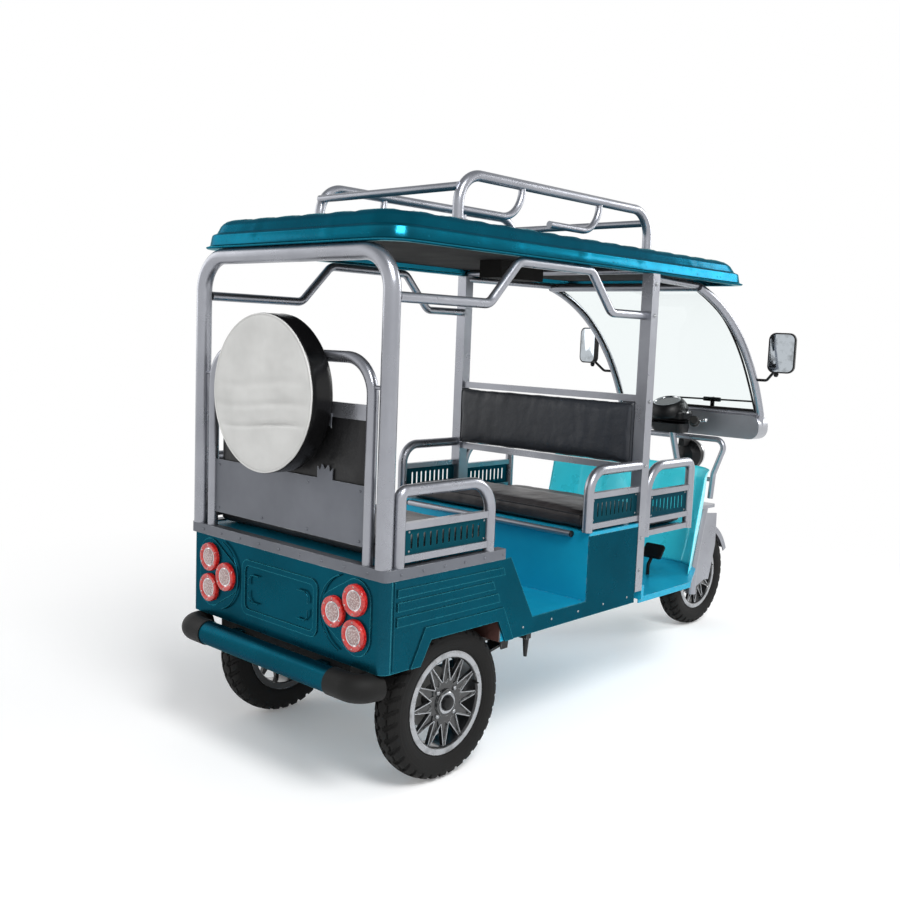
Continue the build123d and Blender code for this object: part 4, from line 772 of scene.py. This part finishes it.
wire("spare_cover_piping", [(232.5 * math.cos(2 * math.pi * i / 72), SPARE_FACE + 2.6,
                             SPARE_Z + 232.5 * math.sin(2 * math.pi * i / 72)) for i in range(72)],
     2.6, face_vinyl, "chassis", closed=True)

# Rear seat: a flat foam cushion and a back pad on plywood, both covered in vinyl and stapled, with
# welts round the cushion's top edge. The worn brown-black vinyl gives the eye a broad, soft shine
# that breaks up over the creases.


def vinyl(name, colour, shade, rough, crease=0.5):
    """Coated upholstery cloth: leather grain of 1.6 mm, creases about 45 mm apart, and shine and
    colour that change over about 140 mm where people sit."""
    made, tree, shader, place = new_material(name)
    patchiness = add(tree, "ShaderNodeTexNoise", {"Scale": 1000 / 143, "Detail": 4}, {"Vector": place})
    two_tone(tree, shader.inputs["Base Color"], patchiness.outputs["Fac"], 0.35, 0.7, colour, shade)
    dull = add(tree, "ShaderNodeMapRange", {"From Min": 0.35, "From Max": 0.7, "To Min": rough,
                                            "To Max": rough + 0.14}, {"Value": patchiness.outputs["Fac"]})
    tree.links.new(dull.outputs["Result"], shader.inputs["Roughness"])
    grain = add(tree, "ShaderNodeTexVoronoi", {"Scale": 1000 / 1.61}, {"Vector": place},
                feature="DISTANCE_TO_EDGE")
    soft = add(tree, "ShaderNodeTexNoise", {"Scale": 1000 / 45.5, "Detail": 3}, {"Vector": place})
    pits = add(tree, "ShaderNodeBump", {"Strength": 0.25, "Distance": 0.0005},
               {"Height": grain.outputs["Distance"]})
    folds = add(tree, "ShaderNodeBump", {"Strength": crease, "Distance": 0.006},
                {"Height": soft.outputs["Fac"], "Normal": pits.outputs["Normal"]})
    tree.links.new(folds.outputs["Normal"], shader.inputs["Normal"])
    shader.inputs["Specular IOR Level"].default_value = 0.4
    return made


seat_vinyl = vinyl("brown_black_vinyl", "#272425", "#312d2d", 0.32)
# The back pad and the driver's seat have a blacker vinyl with a little less shine.
driver_vinyl = vinyl("black_vinyl", "#151516", "#1c1c1e", 0.38)
# Frames of cloth, cap on a point's move in mm, pressure, and the cloth's cell in metres
SIM_FRAMES, CLOTH_CAP, CLOTH_PRESSURE, VOXEL = 18, 9, 4, 0.0075


def inflate(pad):
    """Blow a pad up as cloth, with each point's move capped in millimetres."""
    mesh = pad.data
    start = [v.co.copy() for v in mesh.vertices]
    cloth = pad.modifiers.new("inflate", "CLOTH")
    cloth.settings.quality = 4
    cloth.settings.mass = 0.3
    cloth.settings.tension_stiffness = 12
    cloth.settings.compression_stiffness = 12
    cloth.settings.bending_stiffness = 0.6
    cloth.settings.use_pressure = True
    cloth.settings.uniform_pressure_force = CLOTH_PRESSURE
    cloth.settings.effector_weights.gravity = 0
    cloth.collision_settings.use_collision = False
    for step in range(1, SIM_FRAMES + 1):
        bpy.context.scene.frame_set(step)
    blown = pad.evaluated_get(bpy.context.evaluated_depsgraph_get()).to_mesh()
    moved = [v.co.copy() for v in blown.vertices]
    pad.evaluated_get(bpy.context.evaluated_depsgraph_get()).to_mesh_clear()
    pad.modifiers.remove(cloth)
    bpy.context.scene.frame_set(1)
    for vertex, old, new in zip(mesh.vertices, start, moved):
        shift = new - old
        if shift.length > CLOTH_CAP / 1000:
            shift = shift.normalized() * CLOTH_CAP / 1000
        vertex.co = old + shift


def cushion(name, node, low, high, crown, wrinkle, material):
    """A stuffed pad in its CAD solid's space: a rounded block that is blown up as cloth, swells
    by crown on its free faces, and gets wrinkles of (depth, scale across, along, up)."""
    shape = bmesh.new()
    bmesh.ops.create_cube(shape, size=1)
    margin = 6
    span = [b - a - 2 * margin for a, b in zip(low, high)]
    middle = at(*[(a + b) / 2 for a, b in zip(low, high)])
    for vertex in shape.verts:
        vertex.co = Vector([vertex.co[i] * span[i] / 1000 for i in range(3)])
    bmesh.ops.bevel(shape, geom=shape.edges[:], offset=min(span) * 0.3 / 1000, segments=4,
                    profile=0.6, affect="EDGES")
    mesh = bpy.data.meshes.new(name)
    shape.to_mesh(mesh)
    shape.free()
    pad = bpy.data.objects.new(name, mesh)
    bpy.context.scene.collection.objects.link(pad)
    pad.location = middle
    remesh = pad.modifiers.new("voxels", "REMESH")
    remesh.mode = "VOXEL"
    remesh.voxel_size = VOXEL
    bpy.context.view_layer.update()
    fine = bpy.data.meshes.new_from_object(pad.evaluated_get(bpy.context.evaluated_depsgraph_get()))
    pad.modifiers.remove(remesh)
    pad.data = fine
    inflate(pad)
    half = [(b - a) / 2000 for a, b in zip(low, high)]
    grow = [half[i] / max(abs(vertex.co[i]) for vertex in fine.vertices) for i in range(3)]
    fine.transform(Matrix.Diagonal(grow + [1]))
    for vertex in fine.vertices:
        share = [min(1, abs(vertex.co[i]) / half[i]) for i in range(3)]
        for i in range(3):
            if crown[i]:
                others = [share[j] for j in range(3) if j != i]
                bulge = crown[i] / 1000 * (1 - others[0] ** 4) * (1 - others[1] ** 4)
                if crown[i] * vertex.co[i] > 0 and share[i] > 0.6:
                    vertex.co[i] += bulge
    fine.update()
    depth, *scales = wrinkle
    pushed = []
    for vertex in fine.vertices:
        p = vertex.co
        ripple = noise.noise(Vector([p[i] * scales[i] for i in range(3)]) + Vector((5.2, 1.3, 7.7)))
        ridge = 1 - abs(noise.noise(Vector([p[i] * scales[i] * 1.7 for i in range(3)]))) * 2
        pushed.append(vertex.normal * (depth / 1000) * (ripple + 0.5 * ridge - 0.4))
    for vertex, push in zip(fine.vertices, pushed):
        vertex.co += push
        for i in range(3):
            spare = abs(crown[i]) / 1000 if crown[i] * vertex.co[i] > 0 else 0
            reach = half[i] + spare
            vertex.co[i] = max(-reach, min(reach, vertex.co[i]))
    fine.transform(Matrix.Translation(middle))
    pad.location = (0, 0, 0)
    fine.materials.clear()
    fine.materials.append(material)
    fine.polygons.foreach_set("use_smooth", [True] * len(fine.polygons))
    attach(pad, "chassis")
    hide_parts(node)
    return pad


def welt(name, pad, low, high, level, axis, inset, corner, material):
    """Piping sewn round a pad at a level along an axis (0, 1 or 2), laid on its swollen surface."""
    surface = BVHTree.FromPolygons([v.co for v in pad.data.vertices],
                                   [p.vertices[:] for p in pad.data.polygons])
    u, v = [i for i in range(3) if i != axis]
    lo = [low[u] + inset, low[v] + inset]
    hi = [high[u] - inset, high[v] - inset]
    loop = []
    for cu, cv, start in ((hi[0], hi[1], 0), (lo[0], hi[1], 90), (lo[0], lo[1], 180),
                          (hi[0], lo[1], 270)):
        mu = cu - math.copysign(corner, cu - (lo[0] + hi[0]) / 2)
        mv = cv - math.copysign(corner, cv - (lo[1] + hi[1]) / 2)
        for i in range(5):
            turn = math.radians(start + 22.5 * i)
            loop.append((mu + corner * math.cos(turn), mv + corner * math.sin(turn)))
    dense = []
    for (au, av), (bu, bv) in zip(loop, loop[1:] + loop[:1]):
        steps = max(1, int(math.hypot(bu - au, bv - av) / 18))
        dense += [(au + (bu - au) * i / steps, av + (bv - av) * i / steps) for i in range(steps)]
    points = []
    for pu, pv in dense:
        place_at = [0, 0, 0]
        place_at[u], place_at[v], place_at[axis] = pu, pv, level
        found, normal, _, _ = surface.find_nearest(at(*place_at))
        laid = found + normal * 0.0012
        points.append((laid.x * 1000, laid.y * 1000 - REAR_AXLE, laid.z * 1000))
    wire(name, points, 2.6, material, "chassis", closed=True)


SEAT_LOW, SEAT_TOP = 697.4, 761
rear_low, rear_high = (-424, -239, SEAT_LOW), (424, 202, SEAT_TOP)
rear_pad = cushion("rear_seat_cushion", "rear_cushion", rear_low, rear_high, (0, 0, 9), (1.6, 9, 9, 9),
                   seat_vinyl)
welt("rear_seat_welt", rear_pad, rear_low, rear_high, SEAT_TOP - 6, 2, 4, 22, seat_vinyl)
cushion("rear_back_pad", "back_pad", (-352, -297.4, 742), (352, -240.5, 1143), (0, 6, 0),
        (2.2, 8, 8, 8), driver_vinyl)

# Bench: a crowned foam cushion in the same vinyl on the middle seat box, with a welt sewn round its
# top edge. A black plastic plug is pushed into each open end of the steel tube under its front.
bench_low, bench_high = (-424, 657.5, SEAT_LOW), (424, 947.5, SEAT_TOP)
bench_pad = cushion("bench_seat_cushion", "bench_cushion", bench_low, bench_high, (0, 0, 10),
                    (1.8, 10, 7, 9), seat_vinyl)
welt("bench_welt", bench_pad, bench_low, bench_high, SEAT_TOP - 6, 2, 4, 22, seat_vinyl)
for side, tag in SIDES:
    turned("bench_rail_plug_" + tag, [(11, -2), (11.6, 0), (11.6, 3), (8, 6), (0, 7)],
           (side * 398, 633.7, 684), (side, 0, 0), [black_plastic], "chassis", 32)

# Divider pad: the bench's padded back, screwed between its two rails. Its charcoal vinyl is pulled
# tight downwards, which gives the eye faint upright wrinkles.
back_vinyl = vinyl("charcoal_vinyl", "#2b2e34", "#23262c", 0.38)
pad_low, pad_high = (-424, 937, 907), (424, 989, 1137)
divider = cushion("bench_back_pad", "divider_pad", pad_low, pad_high, (0, -5, 0), (2.0, 15, 8, 3.5),
                  back_vinyl)
welt("bench_back_welt", divider, pad_low, pad_high, 944, 1, 5, 16, back_vinyl)

# Driver's seat: a foam cushion on plywood in the back pad's black vinyl, laid across the box over
# the batteries, with a welt sewn round its top edge.
seat_low, seat_high = (-419, 1025, 652.6), (419, 1329, 703.5)
driver_pad = cushion("driver_seat_cushion", "driver_cushion", seat_low, seat_high, (0, 0, 8),
                     (1.6, 9, 9, 9), driver_vinyl)
welt("driver_seat_welt", driver_pad, seat_low, seat_high, 698, 2, 4, 20, driver_vinyl)

# Headlamp: a moulded black shell on the stay tube, with a chrome bezel pressed over a domed lens.
# The pressed glass has flutes about 6 mm apart over a bright reflector, and gives the eye a pale
# disc cut by fine upright lines.
dress(black_plastic, "headlamp")
lamp_glass, tree, shader, place = new_material("headlamp_lens")
# A wave at scale 1 repeats every 314 mm.
flutes = add(tree, "ShaderNodeTexWave", {"Scale": 314 / 5.71, "Distortion": 0.4}, {"Vector": place})
two_tone(tree, shader.inputs["Base Color"], flutes.outputs["Fac"], 0.2, 0.8, "#dfe3e4", "#aeb4b8")
shader.inputs["Metallic"].default_value = 0.35
shader.inputs["Roughness"].default_value = 0.12
bump = add(tree, "ShaderNodeBump", {"Strength": 0.5, "Distance": 0.001},
           {"Height": flutes.outputs["Fac"]})
tree.links.new(bump.outputs["Normal"], shader.inputs["Normal"])
lens = turned("headlamp_lens",
              [(71.2, 30), (71.6, 40), (69, 47), (64, 50.5), (61, 49), (60, 47.4), (56, 49),
               (40, 52.4), (20, 54), (0, 54.5)],
              (0, 2095, 835), (0, 1, 0), [chrome, lamp_glass], "chassis", 96,
              [0, 0, 0, 0, 0, 1, 1, 1, 1])

# Mirrors: silvered glass set in each moulded black housing behind a thin rim, on a ball joint at
# the top of its arm. Silvering gives the eye a cool, nearly perfect reflection.
dress(black_plastic, "mirrors")
mirror_glass = bright_metal("silvered_glass", "#b9c0c6", 0.03, 0.0)


def rounded_plate(name, centre, across, upward, width, height, corner, depth, material, body):
    """A flat plate with rounded corners and a small edge bevel, set in a plane."""
    across, upward = Vector(across).normalized(), Vector(upward).normalized()
    outward = across.cross(upward)
    outline = []
    for cx, cz, start in ((1, 1, 0), (-1, 1, 90), (-1, -1, 180), (1, -1, 270)):
        for i in range(7):
            turn = math.radians(start + 15 * i)
            outline.append((cx * (width / 2 - corner) + corner * math.cos(turn),
                            cz * (height / 2 - corner) + corner * math.sin(turn)))
    points, faces = [], []
    for shrink, lift in ((0, 0), (0, depth * 0.6), (min(1.2, corner / 3), depth)):
        for u, v in outline:
            points.append(Vector(centre) + across * u * (1 - 2 * shrink / width)
                          + upward * v * (1 - 2 * shrink / height) + outward * lift)
    n = len(outline)
    for row in range(2):
        for i in range(n):
            a, b = row * n + i, row * n + (i + 1) % n
            faces.append((a, b, b + n, a + n))
    faces.append(tuple(range(2 * n, 3 * n)))
    faces.append(tuple(reversed(range(n))))
    return piece(name, points, faces, [material], body, crease=0.5)


for side, tag in SIDES:
    facing = Vector((side * 0.25, -1, 0)).normalized()
    centre = Vector((side * 497, 1970, 1331)) + facing * 24
    glass_plate = rounded_plate("mirror_glass_" + tag, centre, (1, side * 0.25, 0), (0, 0, 1), 100, 160,
                                25, 0.8, mirror_glass, "chassis")
    turned("mirror_ball_" + tag, [(5, -12), (9, -8), (11, 0), (9, 8), (5, 12)],
           (side * 478, 1962, 1240), (0, 0.1, 1), [black_plastic], "chassis", 24)

# Cowl: a closed sheet box beam with rounded corners, welded to the feet of both arches and screwed
# along its front. Its brighter silver paint gives the eye a clean band below the windscreen.
cowl_silver = painted("cowl_silver_paint", "#a9abb0", "#9a9ca2", 0.8, 0.3, 0.1)
cowl_box = rounded_plate("cowl_box", (0, 2122, 994), (1, 0, 0), (0, 0, 1), 764, 108, 46, 88,
                         cowl_silver, "chassis")
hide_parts("cowl")
studs("cowl_screws", [(x, 2122, 1020) for x in range(-300, 301, 120)], (0, 1, 0), 4, 2, zinc,
      "chassis")

# Windscreen: one clear laminated sheet bent over both arches and held in black rubber strips, with
# the wiper's pivot in the lower bar. A low IOR stands for a sheet too thin to bend what lies
# behind it, so that it gives the eye little more than its reflections.
glass, tree, shader, place = new_material("laminated_glass")
shader.inputs["Base Color"].default_value = rgb("#f4fafa")
shader.inputs["Roughness"].default_value = 0.02
shader.inputs["Transmission Weight"].default_value = 1.0
shader.inputs["IOR"].default_value = 1.1
dress(glass, "windscreen_glass")
dress(black_plastic, "wiper")
ARCH = [(1455, 1580), (1650, 1516), (1813, 1401), (1962, 1235), (2072, 1052)]
for side, tag in SIDES:
    wire("windscreen_seal_" + tag, [(side * 346, y - 3, z - 2) for y, z in ARCH], 4.5, black_rubber,
         "chassis")
wire("windscreen_seal_low", [(-338, 2061, 1071), (338, 2061, 1071)], 5.5, black_rubber, "chassis",
     smooth=False)
turned("wiper_pivot", [(11, 0), (11, 5), (8, 9), (0, 10)], (126, 2077, 1107), (0, 1, 0),
       [black_plastic], "chassis", 24)

# Handlebar: a steel tube coated black, with ribbed rubber grips pushed on, moulded switch boxes
# clamped at their inner ends and chromed brake levers that end in a ball.
dress(black_plastic, "handlebar")
for side, tag in SIDES:
    outer_end, inner_end = Vector((side * 300, 1600, 1040)), Vector((side * 200, 1790, 1015))
    run = (inner_end - outer_end).normalized()
    ribs = []
    for i in range(15):
        ribs += [(17.2, 8 * i + 1), (18.2, 8 * i + 3), (18.2, 8 * i + 6), (17.2, 8 * i + 8)]
    turned("grip_ribs_" + tag, [(0, -3), (14, -3)] + ribs + [(16, 121), (11, 121)], outer_end, run,
           [black_rubber], "steering", 40)
    turned("switch_box_" + tag, [(12, 0), (21, 2), (24, 8), (24, 34), (20, 40), (12, 42)],
           outer_end + run * 124, run, [black_plastic], "steering", 40)
    lever_root = outer_end + run * 150
    wire("brake_lever_" + tag,
         [lever_root + Vector((side * 4, 8, 2)), lever_root + Vector((side * 18, 34, 4)),
          lever_root + Vector((side * 58, 6, 8)), lever_root + Vector((side * 98, -70, 16)),
          lever_root + Vector((side * 116, -118, 20))], 5, chrome, "steering")
    studs("lever_end_" + tag, [lever_root + Vector((side * 116, -118, 20))],
          (side * 0.4, -1, 0.1), 8, 8, chrome, "steering", 16)

# Console: a moulded black hood screwed over the handlebar's middle, with a dark instrument glass in
# a chrome ring, a key barrel and a chromed switch stalk on each side. The dead display behind the
# glass, blotched in cells of about 17 mm, gives the eye a deep blue-black under a clean reflection.
dress(black_plastic, "console")
dial_glass, tree, shader, place = new_material("instrument_glass")
cell = add(tree, "ShaderNodeTexNoise", {"Scale": 1000 / 16.7, "Detail": 2}, {"Vector": place})
two_tone(tree, shader.inputs["Base Color"], cell.outputs["Fac"], 0.4, 0.6, "#0c1215", "#1a2328")
shader.inputs["Roughness"].default_value = 0.06
shader.inputs["Coat Weight"].default_value = 1.0
hood_lean = Vector((0, -0.35, 1)).normalized()
hood = turned("instrument_hood",
              [(88, -14), (90, -4), (88, 8), (80, 24), (70, 36), (62, 42), (58, 43), (56, 41), (54, 38),
               (30, 38), (0, 38)], (0, 1898, 1056), hood_lean, [black_plastic, chrome, dial_glass],
              "steering", 72, [0, 0, 0, 0, 0, 1, 1, 1, 2, 2])
turned("key_barrel", [(10, 0), (10, 5), (8, 7), (3, 7), (3, 4), (0, 4)], (70, 1872, 1056.6),
       (0, 0, 1), [chrome], "steering", 24)
for side, tag in SIDES:
    turned("switch_stalk_" + tag,
           [(7, 0), (7, 6), (4, 10), (3.4, 46), (5, 50), (5, 58), (0, 60)],
           (side * 84, 1868, 1034), (side, -0.5, 0.35), [chrome], "steering", 20)
